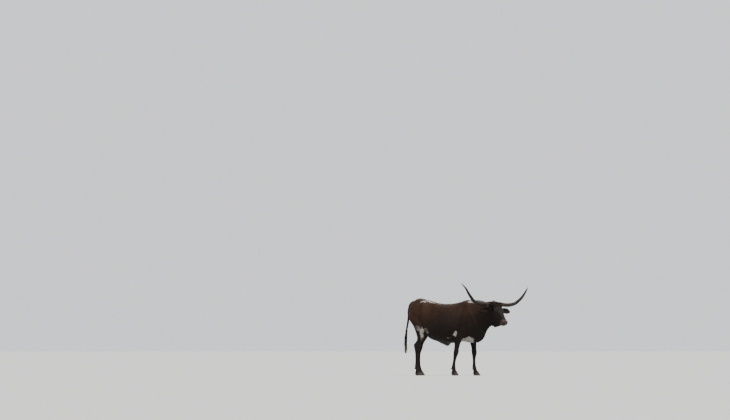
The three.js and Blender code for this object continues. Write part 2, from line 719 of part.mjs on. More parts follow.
// Legs come first, because their upper ends are joined to the trunk.
const legTops = [];
for (const [kind, plan] of Object.entries(legPlans)) {
  for (const [name, side] of Object.entries(SIDES)) {
    const bone = plan.bone(name);
    const line = smoothLine(bone);
    const whole = legForm({ rows: plan.rows, rings: plan.rings, bone, side }).solid();
    const foot = new THREE.Matrix4()
      .makeRotationZ(side * TOE_OUT)
      .setPosition(line(60) + plan.footX, side * plan.rows[0][8], 0);
    const topPlane = planeThrough(
      new THREE.Vector3(line(plan.topZ) + plan.middleX, 0, plan.topZ),
      new THREE.Vector3(plan.lean, 0, 1),
    );
    const kneePlane = planeThrough(new THREE.Vector3(0, 0, plan.kneeZ), new THREE.Vector3(0, 0, 1));
    const coronetPlane = planeThrough(
      new THREE.Vector3(22, 0, 52).applyMatrix4(foot),
      new THREE.Vector3(-0.3, 0, 1).transformDirection(foot),
    );
    const [top, rest] = parted(whole, topPlane);
    const [upper, below] = parted(rest, kneePlane);
    const lower = joined([parted(below, coronetPlane)[0], ...dewclaws(foot, plan.dewclawZ)]);
    legTops.push(top);
    addNode(`${kind}_${name}_upper`, carved(upper, [trunkClearance]), materials.hide);
    addNode(`${kind}_${name}_lower`, lower, materials.hide);
    addNode(`hoof_${kind}_${name}_outer`, clawSolid(foot, side, coronetPlane), materials.hoof);
    addNode(`hoof_${kind}_${name}_inner`, clawSolid(foot, -side, coronetPlane), materials.hoof);
  }
}

const neckPlane = planeThrough(new THREE.Vector3(575, 0, 1420), new THREE.Vector3(0.969, 0, 0.249));
const bodyForms = [trunkForm.solid(), sheathForm.solid(), neckForm.solid(), tailRoot, ...legTops];
const [aheadOfTrunk, torso] = parted(joined(bodyForms), neckPlane);
const headClearance = [headForm.solid(GAP * 1.5), throatForm.solid(GAP * 1.5)];
addNode("torso", torso, materials.hide);
addNode("neck", carved(aheadOfTrunk, headClearance), materials.hide);

let head = joined([headForm.solid(), throatForm.solid()]);
for (const [name, side] of Object.entries(SIDES)) {
  const hornPlane = planeThrough(onHead(0, side * HORN_PLANE, 0), headDirection(0, side, 0));
  const [horn, boss] = parted(hornSolid(side), hornPlane);
  const earFrame = earMatrix(side);
  const earPlane = planeThrough(
    new THREE.Vector3(EAR_PLANE * EAR.length, 0, 0).applyMatrix4(earFrame),
    new THREE.Vector3(1, 0, 0).transformDirection(earFrame),
  );
  const [ear, earRoot] = parted(earSolid(side), earPlane);
  head = joined([head, boss, earRoot, lidSolid(side)]);
  head = head.add(nostrilSolid(side, NOSTRIL_WING.at, NOSTRIL_WING.grow));
  addNode(`horn_${name}`, horn, materials.horn);
  addNode(`ear_${name}`, joined([ear, ...earLocks(side)]), materials.hide);
  addNode(`eye_${name}`, eyeSolid(side), materials.eye);
}
const faceCutters = Object.values(SIDES).flatMap((side) => [
  nostrilSolid(side, NOSTRIL.at),
  eyeSolid(side, GAP),
]);
head = carved(head, [mouthCutter(), ...faceCutters]);
addNode("head", joined([head, ...pollLocks()]), materials.hide);

const [belowDock, dock] = parted(tail, tailPlane(TAIL_SHARES.middle));
const switchPlane = tailPlane(TAIL_SHARES.switch);
const [switchCore, lowerTail] = parted(belowDock, switchPlane);
const switchHair = parted(joined(switchLocks()), switchPlane)[0];
addNode("tail_upper", carved(dock, [trunkClearance]), materials.hide);
addNode("tail_lower", lowerTail, materials.hide);
addNode("tail_switch", switchCore.add(switchHair), materials.switch);

// The origin goes to the middle of the whole animal in plan, with the soles at height 0.
const middle = new THREE.Box3().setFromObject(group).getCenter(new THREE.Vector3());
for (const mesh of group.children) mesh.geometry.translate(-middle.x, -middle.y, 0);

export default group;
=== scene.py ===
# A longhorn steer, standing still with its head turned to its right.
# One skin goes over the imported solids, with a short coat, long hair, horns, eyes and hooves on it.
# Lengths are metres. +X runs forward along the trunk, +Y to the animal's left, +Z up.

import json
import math

import bmesh
import bpy
import numpy as np
from mathutils import Euler, Matrix, Vector
from mathutils.bvhtree import BVHTree

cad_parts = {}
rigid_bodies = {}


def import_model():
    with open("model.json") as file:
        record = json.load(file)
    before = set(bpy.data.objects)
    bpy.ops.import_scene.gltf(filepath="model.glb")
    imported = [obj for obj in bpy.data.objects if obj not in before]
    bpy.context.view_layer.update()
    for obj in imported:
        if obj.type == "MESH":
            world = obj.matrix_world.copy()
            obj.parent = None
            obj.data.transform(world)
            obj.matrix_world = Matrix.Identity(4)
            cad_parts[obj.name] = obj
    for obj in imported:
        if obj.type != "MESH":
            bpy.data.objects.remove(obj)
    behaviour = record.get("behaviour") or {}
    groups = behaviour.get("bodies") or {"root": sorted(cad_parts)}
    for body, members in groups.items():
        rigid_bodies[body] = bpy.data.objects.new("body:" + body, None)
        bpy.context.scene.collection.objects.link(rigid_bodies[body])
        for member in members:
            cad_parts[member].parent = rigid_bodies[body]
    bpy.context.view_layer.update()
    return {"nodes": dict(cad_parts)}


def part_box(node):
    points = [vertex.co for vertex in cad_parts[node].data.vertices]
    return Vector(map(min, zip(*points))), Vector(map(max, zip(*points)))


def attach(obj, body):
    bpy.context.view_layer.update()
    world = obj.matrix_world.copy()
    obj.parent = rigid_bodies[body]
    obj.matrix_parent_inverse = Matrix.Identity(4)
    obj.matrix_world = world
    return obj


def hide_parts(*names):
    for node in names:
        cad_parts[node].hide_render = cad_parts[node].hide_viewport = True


for leftover in list(bpy.data.objects):
    bpy.data.objects.remove(leftover)
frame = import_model()
rng = np.random.default_rng(20240611)

# Carriage of the head. The head's own frame runs down the face, to its left, and out of the forehead.
POLL = np.array([1.04, -0.155, 1.335])  # in the plan's frame, whose origin lies under the girth
HEAD_TURN = [math.radians(a) for a in (-2.7, 34, -38)]
EYE_AT = np.array([0.205, 0.088, -0.05])
EYE_RADIUS = 0.022
SIDES = {"left": 1, "right": -1}

# Size of the skin's faces on body and head, and the plane across the neck where the two meet
BODY_GRAIN = 0.0074
HEAD_GRAIN = 0.0032
NECK_CUT = {"at": (0.84, -0.065, 1.1), "facing": (0.933, -0.36, 0.0), "half_gap": 0.004}
# Where the faces of the skin are halved: middle in the head's frame, and radius
FINE_ZONES = [((0.49, 0.0, -0.09), 0.1), (EYE_AT, 0.046)]

# What a kind of skin is: how much it is smoothed, its depth under the coat's outline, the length of its
# hair, and tufts on a square metre
KINDS = {
    "torso": (0.6, 0.005, 0.021, 9800),
    "neck": (0.6, 0.005, 0.021, 11500),
    "head": (0.45, 0.002, 0.011, 25000),
    "ear": (0.06, 0.0, 0.011, 30000),
    "leg": (0.4, 0.002, 0.015, 14000),
    "tail": (0.4, 0.002, 0.02, 16000),
}
REGIONS = [
    "torso", "neck", "head", "ear_left", "ear_right", "foreleg_left", "foreleg_right",
    "hindleg_left", "hindleg_right", "tail",
]
FLESH_NODES = {
    "torso": ["torso"],
    "neck": ["neck"],
    "tail": ["tail_upper", "tail_lower"],
    **{leg: [f"{leg}_upper", f"{leg}_lower"] for leg in REGIONS[5:9]},
}

# Rows of the head: down the face, jaw, brow, half width, level of the widest, fullness below, above
HEAD_ROWS = [
    (-0.08, -0.08, -0.01, 0.036, -0.045, 2.0, 2.0),
    (-0.066, -0.115, 0.014, 0.068, -0.045, 2.0, 2.0),
    (-0.03, -0.165, 0.042, 0.098, -0.04, 2.1, 2.2),
    (0.01, -0.196, 0.044, 0.108, -0.04, 2.1, 2.4),
    (0.08, -0.222, 0.036, 0.106, -0.05, 2.1, 2.6),
    (0.15, -0.234, 0.028, 0.102, -0.055, 2.1, 2.8),
    (0.21, -0.228, 0.017, 0.097, -0.06, 2.1, 2.7),
    (0.285, -0.202, 0.004, 0.08, -0.068, 2.2, 2.5),
    (0.365, -0.172, -0.008, 0.066, -0.078, 2.3, 2.5),
    (0.43, -0.154, -0.02, 0.064, -0.086, 2.4, 2.4),
    (0.48, -0.148, -0.03, 0.07, -0.088, 2.6, 2.4),
    (0.512, -0.14, -0.04, 0.067, -0.088, 2.5, 2.4),
    (0.53, -0.126, -0.054, 0.054, -0.088, 2.4, 2.3),
    (0.539, -0.104, -0.072, 0.028, -0.088, 2.2, 2.2),
]
THROAT_ROWS = [
    (0.15, -0.372, -0.15, 0.056, -0.2, 1.2, 2.0),
    (0.255, -0.356, -0.14, 0.054, -0.18, 1.1, 2.0),
    (0.33, -0.298, -0.12, 0.044, -0.165, 1.15, 2.0),
    (0.4, -0.232, -0.11, 0.038, -0.14, 1.3, 2.0),
    (0.455, -0.178, -0.1, 0.034, -0.125, 1.6, 2.0),
    (0.49, -0.145, -0.1, 0.026, -0.12, 2.0, 2.0),
]
# Swellings of the head: down the face, sideways, up, spread, height
HEAD_SWELLINGS = [
    (0.185, 0.09, -0.018, 0.026, 0.012),  # brow ridge
    (0.255, 0.082, -0.072, 0.03, 0.007),  # cheek bone
    (0.19, 0.092, -0.16, 0.048, 0.01),  # jaw muscle
    (0.11, 0.1, -0.06, 0.036, -0.008),  # temple
    (0.488, 0.02, -0.144, 0.022, 0.006),  # chin
    (0.5, 0.056, -0.092, 0.02, 0.006),  # upper lip
    (0.505, 0.046, -0.052, 0.014, 0.006),  # wing of the nostril
]

# The ear: share of its length, half width, depth of the hollow, thickness
EAR_ROWS = [
    (0.0, 0.019, 0.0, 0.034),
    (0.1, 0.02, 0.004, 0.032),
    (0.22, 0.033, 0.022, 0.018),
    (0.4, 0.046, 0.027, 0.011),
    (0.62, 0.05, 0.021, 0.01),
    (0.82, 0.036, 0.012, 0.009),
    (0.95, 0.017, 0.005, 0.008),
    (1.0, 0.006, 0.0, 0.006),
]
EAR_ROOT = (0.082, 0.08, -0.062)
EAR_LENGTH = 0.262
EAR_DROOP = 0.006

# Horns: sideways, forward and height in the plan's frame before the head is turned
HORN_PATH = [
    (0.05, 0.0, 1.337), (0.098, -0.01, 1.335), (0.196, -0.02, 1.328),
    (0.314, -0.03, 1.332), (0.43, -0.03, 1.366), (0.492, -0.009, 1.418),
    (0.562, 0.004, 1.496), (0.63, -0.002, 1.597), (0.706, -0.056, 1.687),
]
HORN_RADII = [
    (0, 0.037), (0.12, 0.038), (0.35, 0.035), (0.55, 0.029), (0.75, 0.021), (0.9, 0.012), (1, 0.0025),
]
# Share of the horn's path where it comes out of its collar of skin, and where the collar ends
HORN_ROOT = 0.045
COLLAR_END = 0.095
COLLAR_RADII = [(0, 0.04), (0.05, 0.0415), (0.075, 0.0405), (0.088, 0.0375), (COLLAR_END, 0.03)]

TAIL_LINE = [
    (-0.67, 0, 1.372), (-0.73, 0, 1.362), (-0.786, 0, 1.3), (-0.812, 0, 1.205),
    (-0.817, 0.002, 1.1), (-0.832, 0.005, 1.0), (-0.853, 0.008, 0.9),
    (-0.87, 0.009, 0.78), (-0.876, 0.006, 0.66), (-0.874, 0.003, 0.56),
]
TAIL_CORE_RADII = [(0.55, 0.017), (0.7, 0.015), (0.85, 0.012), (1, 0.006)]
SWITCH_END = 0.385  # height of the longest hair's end

# Where each foot stands in the plan: forward, outward, and the height of its dewclaws
FEET = {
    "foreleg_left": (0.4756, 0.152, 0.134), "foreleg_right": (0.1752, 0.152, 0.134),
    "hindleg_left": (-0.676, 0.168, 0.138), "hindleg_right": (-0.566, 0.168, 0.138),
}
TOE_OUT = math.radians(7)
CLAWS = [(leg, hand) for leg in FEET for hand in (-1, 1)]
CLEFT = 0.0035  # from the middle of the foot to the inner wall of a claw
CLAW_MIDDLE = 0.0265
TOE_BEND = 0.05  # how much the toe bends to the other one, from here forward
TOE_BEND_FROM = 0.05
# A claw: height, heel, toe, half width, level of the widest, fullness of heel and toe
CLAW_ROWS = [
    (0.0, -0.004, 0.11, 0.0275, 0.04, 2.3, 1.6),
    (0.014, -0.01, 0.104, 0.028, 0.038, 2.3, 1.65),
    (0.04, -0.019, 0.087, 0.027, 0.028, 2.3, 1.75),
    (0.084, -0.027, 0.06, 0.024, 0.012, 2.2, 1.9),
    (0.11, -0.028, 0.05, 0.022, 0.01, 2.2, 2.0),
]
# The upper edge of a claw: its height at the middle of the foot, and its slope towards the toe
CORONET = (0.0454, 0.3)
# Rings up a claw: share of the height to its upper edge, height added, and how far in from its outline
CLAW_LEVELS = [
    (0.0, 0.0, 0.006), (0.0, 0.0, 0.0025), (0.0, 0.0012, 0.0006), (0.03, 0.002, 0.0),
    *[(0.1 + 0.045 * step, 0.0, 0.0) for step in range(19)],
    (0.97, 0.0, 0.001), (1.0, 0.0, 0.003), (1.0, 0.002, 0.007), (1.0, 0.004, 0.013),
]
DIGIT_LEVELS = [
    (0.4, 0.0, 0.009), (0.6, 0.0, 0.005), (0.85, 0.0, 0.002), (1.0, 0.0, -0.0005),
    (1.0, 0.008, -0.001), (1.0, 0.018, 0.002), (1.0, 0.032, 0.008),
]

# The photograph, taken to be 730 by 420 pixels, and what it says of the camera
IMAGE = (730, 420)
METRES_PER_PIXEL = 0.0187
CAMERA_AZIMUTH = math.radians(25)
LENS = 400.0
SENSOR = 36.0
HORIZON_ROW = 350.0
GROUND_ROW = 375.5
ORIGIN_COLUMN = 448.1  # column of the plan's origin


def middle(node):
    low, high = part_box(node)
    return np.array((low + high) / 2)


HEAD_AXES = np.array(Euler(HEAD_TURN, "XYZ").to_matrix())
HEAD_ORIGIN = middle("eye_left") - HEAD_AXES @ EYE_AT
PLAN_ORIGIN = HEAD_ORIGIN - POLL


def from_head(points):
    return np.asarray(points, float) @ HEAD_AXES.T + HEAD_ORIGIN


def to_head(points):
    return (points - HEAD_ORIGIN) @ HEAD_AXES


def head_direction(x, y, z):
    return unit(HEAD_AXES @ np.array([x, y, z], float))


def from_plan(points):
    return np.asarray(points, float) + PLAN_ORIGIN


def to_plan(points):
    return points - PLAN_ORIGIN


# Numbers


def unit(vectors):
    return vectors / np.maximum(norm(vectors, keepdims=True), 1e-9)


def norm(vectors, **axes):
    return np.linalg.norm(vectors, axis=-1, **axes)


def smooth_step(value, low, high):
    t = np.clip((value - low) / (high - low), 0, 1)
    return t * t * (3 - 2 * t)


def read_rows(rows, at):
    """Reads the columns of a table smoothly between its places, which are its first column."""
    table = np.array(rows, float)
    place, values = table[:, 0], table[:, 1:]
    slope = np.empty_like(values)
    slope[1:-1] = (values[2:] - values[:-2]) / (place[2:] - place[:-2])[:, None]
    slope[0] = (values[1] - values[0]) / (place[1] - place[0])
    slope[-1] = (values[-1] - values[-2]) / (place[-1] - place[-2])
    i = np.clip(np.searchsorted(place, at, side="right") - 1, 0, len(place) - 2)
    width = (place[i + 1] - place[i])[..., None]
    t = (at - place[i])[..., None] / width
    ahead = t * t * (3 - 2 * t)
    return (
        (1 - ahead) * values[i] + ahead * values[i + 1]
        + t * (1 - t) ** 2 * width * slope[i] + t * t * (t - 1) * width * slope[i + 1]
    )


def curve_through(points, count=400):
    """A smooth curve through points, as evenly spaced places and their directions."""
    points = np.asarray(points, float)
    steps = norm(np.diff(points, axis=0)) ** 0.5
    table = np.column_stack([np.concatenate([[0], np.cumsum(steps)]), points])
    dense = read_rows(table, np.linspace(0, table[-1, 0], 8 * count))
    length = np.concatenate([[0], np.cumsum(norm(np.diff(dense, axis=0)))])
    even = np.linspace(0, length[-1], count)
    places = np.column_stack([np.interp(even, length, dense[:, k]) for k in range(3)])
    return places, unit(np.gradient(places, axis=0))


def along_curve(curve, share):
    """Places and directions at shares of a curve's length."""
    at = np.linspace(0, 1, len(curve[0]))
    places, directions = (
        np.stack([np.interp(share, at, line[:, k]) for k in range(3)], -1) for line in curve
    )
    return places, unit(directions)


def hashed(cells, seed):
    """Repeatable random numbers from 0 to 1, one for each whole-numbered cell."""
    mixed = cells[..., 0] * 73856093 ^ cells[..., 1] * 19349663 ^ cells[..., 2] * 83492791
    mixed = (mixed ^ seed * 2654435761) & 0xFFFFFFFF
    mixed = ((mixed ^ (mixed >> 15)) * 2246822519) & 0xFFFFFFFF
    mixed = ((mixed ^ (mixed >> 13)) * 3266489917) & 0xFFFFFFFF
    return (mixed ^ (mixed >> 16)) / 4294967296.0


def noise(points, size, seed=0):
    """Smooth noise from -1 to 1 whose features are about as large as size."""
    scaled = np.asarray(points, float) / size
    cell = np.floor(scaled).astype(np.int64)
    part = scaled - cell
    part = part * part * (3 - 2 * part)
    total = np.zeros(scaled.shape[:-1])
    for corner in np.ndindex(2, 2, 2):
        weight = np.prod(np.where(corner, part, 1 - part), axis=-1)
        total += weight * hashed(cell + corner, seed)
    return total * 2 - 1


def noises(points, size, seeds):
    return np.stack([noise(points, size, seed) for seed in seeds], -1)


def blend(column, shares):
    """One column of KINDS, mixed by how much of each kind there is."""
    return sum(row[column] * shares[kind] for kind, row in KINDS.items())


def round_angles(count):
    return np.linspace(0, 2 * np.pi, count, endpoint=False)


def both_sides(points):
    """Brings what is on the right over to the left, so that one table serves both."""
    folded = points.copy()
    folded[..., 1] = np.abs(folded[..., 1])
    return folded


def swell(points, rows):
    """Soft swellings and hollows, alike on both sides: each row is a place, a spread and a height."""
    folded = both_sides(points)
    return sum(
        height * np.exp(-((folded - [x, y, z]) ** 2).sum(-1) / (2 * spread * spread))
        for x, y, z, spread, height in rows
    )


def ridge(points, start, end, spread, height):
    """A soft ridge, or a groove where height is negative, along the line from start to end."""
    start, end = np.array(start), np.array(end)
    line = end - start
    share = np.clip(((points - start) @ line) / (line @ line), 0, 1)
    gone = ((points - start - share[..., None] * line) ** 2).sum(-1)
    return height * np.exp(-gone / (2 * spread * spread))


def ridges(points, rows):
    return sum(ridge(both_sides(points), *row) for row in rows)


# Meshes


def new_mesh(name, points, faces):
    mesh = bpy.data.meshes.new(name)
    mesh.from_pydata(np.asarray(points).tolist(), [], [list(map(int, face)) for face in faces])
    mesh.update()
    return mesh


def quick_mesh(name, points, quads, triangles):
    """A mesh from arrays of points, four-cornered faces and three-cornered faces."""
    mesh = bpy.data.meshes.new(name)
    corners = np.concatenate([quads.ravel(), triangles.ravel()]).astype(np.int32)
    sizes = np.concatenate([np.full(len(quads), 4), np.full(len(triangles), 3)]).astype(np.int32)
    starts = np.concatenate([[0], np.cumsum(sizes)[:-1]]).astype(np.int32)
    mesh.vertices.add(len(points))
    mesh.vertices.foreach_set("co", np.ascontiguousarray(points, np.float32).ravel())
    mesh.loops.add(len(corners))
    mesh.loops.foreach_set("vertex_index", corners)
    mesh.polygons.add(len(sizes))
    mesh.polygons.foreach_set("loop_start", starts)
    mesh.polygons.foreach_set("loop_total", sizes)
    mesh.update(calc_edges=True)
    return mesh


def face_outward(mesh):
    """Turns every face of a closed mesh outwards."""
    edit = bmesh.new()
    edit.from_mesh(mesh)
    bmesh.ops.recalc_face_normals(edit, faces=edit.faces)
    edit.to_mesh(mesh)
    edit.free()
    return mesh


def placed(name, data):
    made = bpy.data.objects.new(name, data)
    bpy.context.scene.collection.objects.link(made)
    return made


def piece(name, mesh):
    """A new object with smooth faces."""
    mesh.polygons.foreach_set("use_smooth", np.ones(len(mesh.polygons), bool))
    return placed(name, mesh)


def dressed(made, material, slot, *solids):
    """Gives a piece its material and hides the solids that it stands for. slot is not used."""
    made.data.materials.append(material)
    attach(made, "root")
    if solids:
        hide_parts(*solids)


def numbers(items, name, width, kind=np.float64):
    found = np.empty(len(items) * width, kind)
    items.foreach_get(name, found)
    return found.reshape(-1, width) if width > 1 else found


def set_attribute(mesh, name, values):
    values = np.asarray(values, np.float32)
    vector = values.ndim == 2
    layer = mesh.attributes.new(name, "FLOAT_VECTOR" if vector else "FLOAT", "POINT")
    layer.data.foreach_set("vector" if vector else "value", values.ravel())


def band(rings, sides, closed=False):
    """The faces between rings of points, also from the last ring back to the first where closed."""
    ring, side = np.divmod(np.arange((rings - 1 + closed) * sides), sides)
    here, far = ring * sides, (ring + 1) % rings * sides
    after = (side + 1) % sides
    return np.column_stack([here + side, here + after, far + after, far + side])


def closed_grid(grid):
    """Rings of points closed at both ends by a fan, as points and faces."""
    rings, sides = grid.shape[:2]
    points = np.concatenate([grid.reshape(-1, 3), [grid[0].mean(0), grid[-1].mean(0)]])
    faces = band(rings, sides).tolist()
    last = (rings - 1) * sides
    for side in range(sides):
        after = (side + 1) % sides
        faces += [(after, side, rings * sides), (last + side, last + after, rings * sides + 1)]
    return points, faces


def oval(angle, row, inset=0.0):
    """A superellipse with ends of unlike fullness: places across, places along, and its widest level."""
    low, high, half, widest, low_full, high_full = row
    cosine, sine = np.cos(angle), np.sin(angle)
    power = np.where(sine > 0, 2 / high_full, 2 / low_full)
    reach = np.where(sine > 0, high - widest, widest - low) - inset
    across = np.sign(cosine) * np.abs(cosine) ** power * (half - inset)
    return across, np.sign(sine) * np.abs(sine) ** power * reach, widest


CROWDED_ENDS = 0.55  # how much closer together the rings of a loft stand at its ends


def loft(rows, rings, sides, relief):
    """Rings of superellipses read from rows, in the frame of the rows."""
    even = np.linspace(0, 1, rings)
    share = even + CROWDED_ENDS * (0.5 - 0.5 * np.cos(np.pi * even) - even)
    at = rows[0][0] + share * (rows[-1][0] - rows[0][0])
    across, along, widest = oval(round_angles(sides), read_rows(rows, at).T[:, :, None])
    outward = unit(np.stack([np.zeros_like(across), across, along], -1))
    points = np.stack([np.broadcast_to(at[:, None], across.shape), across, widest + along], -1)
    return points + outward * (np.zeros(across.shape) + swell(points, relief))[..., None]


def rope(curve, radii, rings, sides, start=0.0, upwards=(0, 0, 1), shape=None, end=1.0):
    """Rings round a curve, from one share of its length to another."""
    share = np.linspace(start, end, rings)
    places, directions = along_curve(curve, share)
    sideways = unit(np.cross(np.array(upwards, float), directions))
    up = np.cross(directions, sideways)
    radius = read_rows(radii, share)[:, 0][:, None] * np.ones(sides)
    angle = round_angles(sides)
    if shape is not None:
        radius = radius * shape(share[:, None], angle[None, :])
    ring = np.cos(angle)[:, None] * sideways[:, None] + np.sin(angle)[:, None] * up[:, None]
    return places[:, None] + ring * radius[..., None]


def horn_curve(side):
    turn = np.array(Euler((HEAD_TURN[0], 0, HEAD_TURN[2]), "XYZ").to_matrix())
    return curve_through([
        turn @ np.array([forward, side * sideways, height - POLL[2]]) + HEAD_ORIGIN
        for sideways, forward, height in HORN_PATH
    ])


def ear_axes(side):
    outward = head_direction(-0.08, side * 0.97, -0.24)
    facing = head_direction(0.92, side * 0.27, 0.28)
    upward = unit(np.cross(facing, outward) * side)
    return np.stack([outward, upward, unit(np.cross(outward, upward) * side)])


def ear_point(side, share, across, front):
    """A place on the ear: share of its length, across from -1 to 1, and front or back of its skin."""
    share, across, front = np.broadcast_arrays(*(np.asarray(v, float) for v in (share, across, front)))
    half, hollow, thick = np.moveaxis(read_rows(EAR_ROWS, share), -1, 0)
    local = np.stack([
        share * EAR_LENGTH,
        half * across - EAR_DROOP * share**2,
        front * thick / 2 - hollow * (1 - across**2),
    ], -1)
    root = from_head([EAR_ROOT[0], side * EAR_ROOT[1], EAR_ROOT[2]])
    return local @ ear_axes(side) + root


def side_of(leg):
    return SIDES[leg.split("_")[1]]


def in_foot(leg, points):
    """Points in the frame of a foot, which turns its toes out a little, brought to where it stands."""
    forward, outward, _ = FEET[leg]
    turn = np.array(Matrix.Rotation(side_of(leg) * TOE_OUT, 3, "Z"))
    return np.asarray(points) @ turn.T + from_plan((forward, side_of(leg) * outward, 0))


def claw_rings(leg, hand, levels, sides=40):
    """Rings round one claw of a foot, flat on the ground and slanting like its upper edge higher up."""
    rings = []
    for share, more, inset in levels:
        forward = np.zeros(sides)
        for _ in range(4):
            height = share * (CORONET[0] + CORONET[1] * forward) + more
            across, along, widest = oval(round_angles(sides), read_rows(CLAW_ROWS, height).T, inset)
            forward = widest + along
        # the inner wall stands straight along the cleft, and the toe bends a little towards it
        across = across - TOE_BEND * np.maximum(forward - TOE_BEND_FROM, 0)
        wall = CLEFT - CLAW_MIDDLE + inset
        across = np.where(across < wall, wall + 0.25 * (across - wall), across)
        rings.append(np.stack([forward, hand * (CLAW_MIDDLE + across), height], 1))
    return in_foot(leg, np.array(rings))


def solid_arrays(node, grow=0.0005):
    """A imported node's own surface, welded and grown a little so that neighbours join."""
    welded = bmesh.new()
    welded.from_mesh(frame["nodes"][node].data)
    bmesh.ops.remove_doubles(welded, verts=welded.verts, dist=1e-5)
    welded.normal_update()
    welded.verts.index_update()
    points = np.array([vertex.co + vertex.normal * grow for vertex in welded.verts])
    faces = [tuple(vertex.index for vertex in face.verts) for face in welded.faces]
    welded.free()
    return points, faces


# The skin


def flesh_sources():
    """Each region's closed surfaces, as (region, points, faces)."""
    found = [(region, *solid_arrays(node)) for region, nodes in FLESH_NODES.items() for node in nodes]
    for rows, rings, relief in ((HEAD_ROWS, 110, HEAD_SWELLINGS), (THROAT_ROWS, 40, ())):
        found.append(("head", *closed_grid(from_head(loft(rows, rings, 96, relief)))))
    for name, side in SIDES.items():
        angle = round_angles(64)[None, :] * side
        grid = ear_point(side, np.linspace(0, 1, 60)[:, None], np.cos(angle), np.sin(angle))
        found.append((f"ear_{name}", *closed_grid(grid)))
        collar = rope(
            horn_curve(side), COLLAR_RADII, 16, 40, upwards=head_direction(1, 0, 0), end=COLLAR_END,
        )
        found.append(("head", *closed_grid(collar)))
    tail = curve_through(from_plan(TAIL_LINE))
    core = rope(tail, TAIL_CORE_RADII, 50, 16, start=TAIL_CORE_RADII[0][0], upwards=(0, 1, 0))
    found.append(("tail", *closed_grid(core)))
    found += [(leg, *closed_grid(claw_rings(leg, hand, DIGIT_LEVELS))) for leg, hand in CLAWS]
    return found


def joined_arrays(sources):
    points, faces, first = [], [], 0
    for _, more, more_faces in sources:
        points.append(more)
        faces += [tuple(v + first for v in face) for face in more_faces]
        first += len(more)
    return np.concatenate(points), faces


def voxel_union(sources, size):
    """One surface round all the sources, made of small even faces."""
    made = placed("union", new_mesh("union", *joined_arrays(sources)))
    change = made.modifiers.new("voxels", "REMESH")
    change.mode = "VOXEL"
    change.voxel_size = size
    graph = bpy.context.evaluated_depsgraph_get()
    mesh = bpy.data.meshes.new_from_object(made.evaluated_get(graph), depsgraph=graph)
    bpy.data.objects.remove(made)
    return mesh


def largest_island(mesh):
    """Which vertices belong to the connected surface that has the most of them."""
    count = len(mesh.vertices)
    a, b = numbers(mesh.edges, "vertices", 2, np.int32).T
    label = np.arange(count)
    while True:
        lowest = np.minimum(label[a], label[b])
        fresh = label.copy()
        np.minimum.at(fresh, a, lowest)
        np.minimum.at(fresh, b, lowest)
        fresh = fresh[fresh]
        if np.array_equal(fresh, label):
            break
        label = fresh
    return label == np.bincount(label, minlength=count).argmax()


def cut_at_neck(mesh, keep_ahead):
    """The largest surface of a mesh, cut a little short of the plane across the neck."""
    keep = largest_island(mesh)
    cut = bmesh.new()
    cut.from_mesh(mesh)
    cut.verts.ensure_lookup_table()
    bmesh.ops.delete(cut, geom=[v for v, kept in zip(cut.verts, keep) if not kept], context="VERTS")
    sign = 1 if keep_ahead else -1
    facing = Vector(NECK_CUT["facing"]).normalized()
    place = Vector(from_plan(NECK_CUT["at"])) + facing * sign * NECK_CUT["half_gap"]
    bmesh.ops.bisect_plane(
        cut, geom=cut.verts[:] + cut.edges[:] + cut.faces[:], plane_co=place, plane_no=facing,
        clear_inner=keep_ahead, clear_outer=not keep_ahead,
    )
    return cut


def refine(edit):
    """Halves the edges round the muzzle and the eyes, for finer forms there."""
    edit.verts.index_update()
    face = both_sides(to_head(np.array([vertex.co for vertex in edit.verts])))
    inside = np.any([norm(face - centre) < radius for centre, radius in FINE_ZONES], axis=0)
    edges = [edge for edge in edit.edges if all(inside[vertex.index] for vertex in edge.verts)]
    bmesh.ops.subdivide_edges(edit, edges=edges, cuts=1, use_grid_fill=True)


def skin_surface(sources):
    """The skin before it is smoothed: a finer head bridged to the body across the neck."""
    of_head = [s for s in sources if s[0] in ("head", "neck", "ear_left", "ear_right")]
    of_body = [s for s in sources if not s[0].startswith("ear")]
    whole = cut_at_neck(voxel_union(of_body, BODY_GRAIN), keep_ahead=False)
    head = cut_at_neck(voxel_union(of_head, HEAD_GRAIN), keep_ahead=True)
    loose = bpy.data.meshes.new("head_half")
    head.to_mesh(loose)
    head.free()
    whole.from_mesh(loose)
    bpy.data.meshes.remove(loose)
    rims = [edge for edge in whole.edges if edge.is_boundary]
    bmesh.ops.bridge_loops(whole, edges=rims)
    refine(whole)
    bmesh.ops.recalc_face_normals(whole, faces=whole.faces)
    mesh = bpy.data.meshes.new("skin")
    whole.to_mesh(mesh)
    whole.free()
    return mesh


def nearest_region(points, sources):
    """The number in REGIONS of the source that lies nearest to each point."""
    all_points, faces = joined_arrays(sources)
    owner = np.concatenate([np.full(len(s[2]), REGIONS.index(s[0])) for s in sources])
    tree = BVHTree.FromPolygons(all_points.tolist(), faces)
    return owner[[tree.find_nearest(Vector(p))[2] for p in points]]


class Relaxer:
    """Averages values over each vertex's neighbours, again and again."""

    def __init__(self, mesh):
        self.count = len(mesh.vertices)
        self.a, self.b = numbers(mesh.edges, "vertices", 2, np.int32).T
        self.degree = np.bincount(np.concatenate([self.a, self.b]), minlength=self.count)[:, None]

    def __call__(self, values, strength, rounds):
        values = values.copy()
        strength = np.broadcast_to(np.reshape(strength, (-1, 1)), (self.count, 1))
        for _ in range(rounds):
            total = np.stack([
                np.bincount(self.a, column[self.b], self.count)
                + np.bincount(self.b, column[self.a], self.count)
                for column in values.T
            ], 1)
            values += strength * (total / self.degree - values)
        return values

    def keep_size(self, values, strength, rounds):
        """Smooths, and takes back the shrinking that smoothing brings."""
        for _ in range(rounds):
            values = self(values, strength, 1)
            values = self(values, -1.04 * np.asarray(strength), 1)
        return values


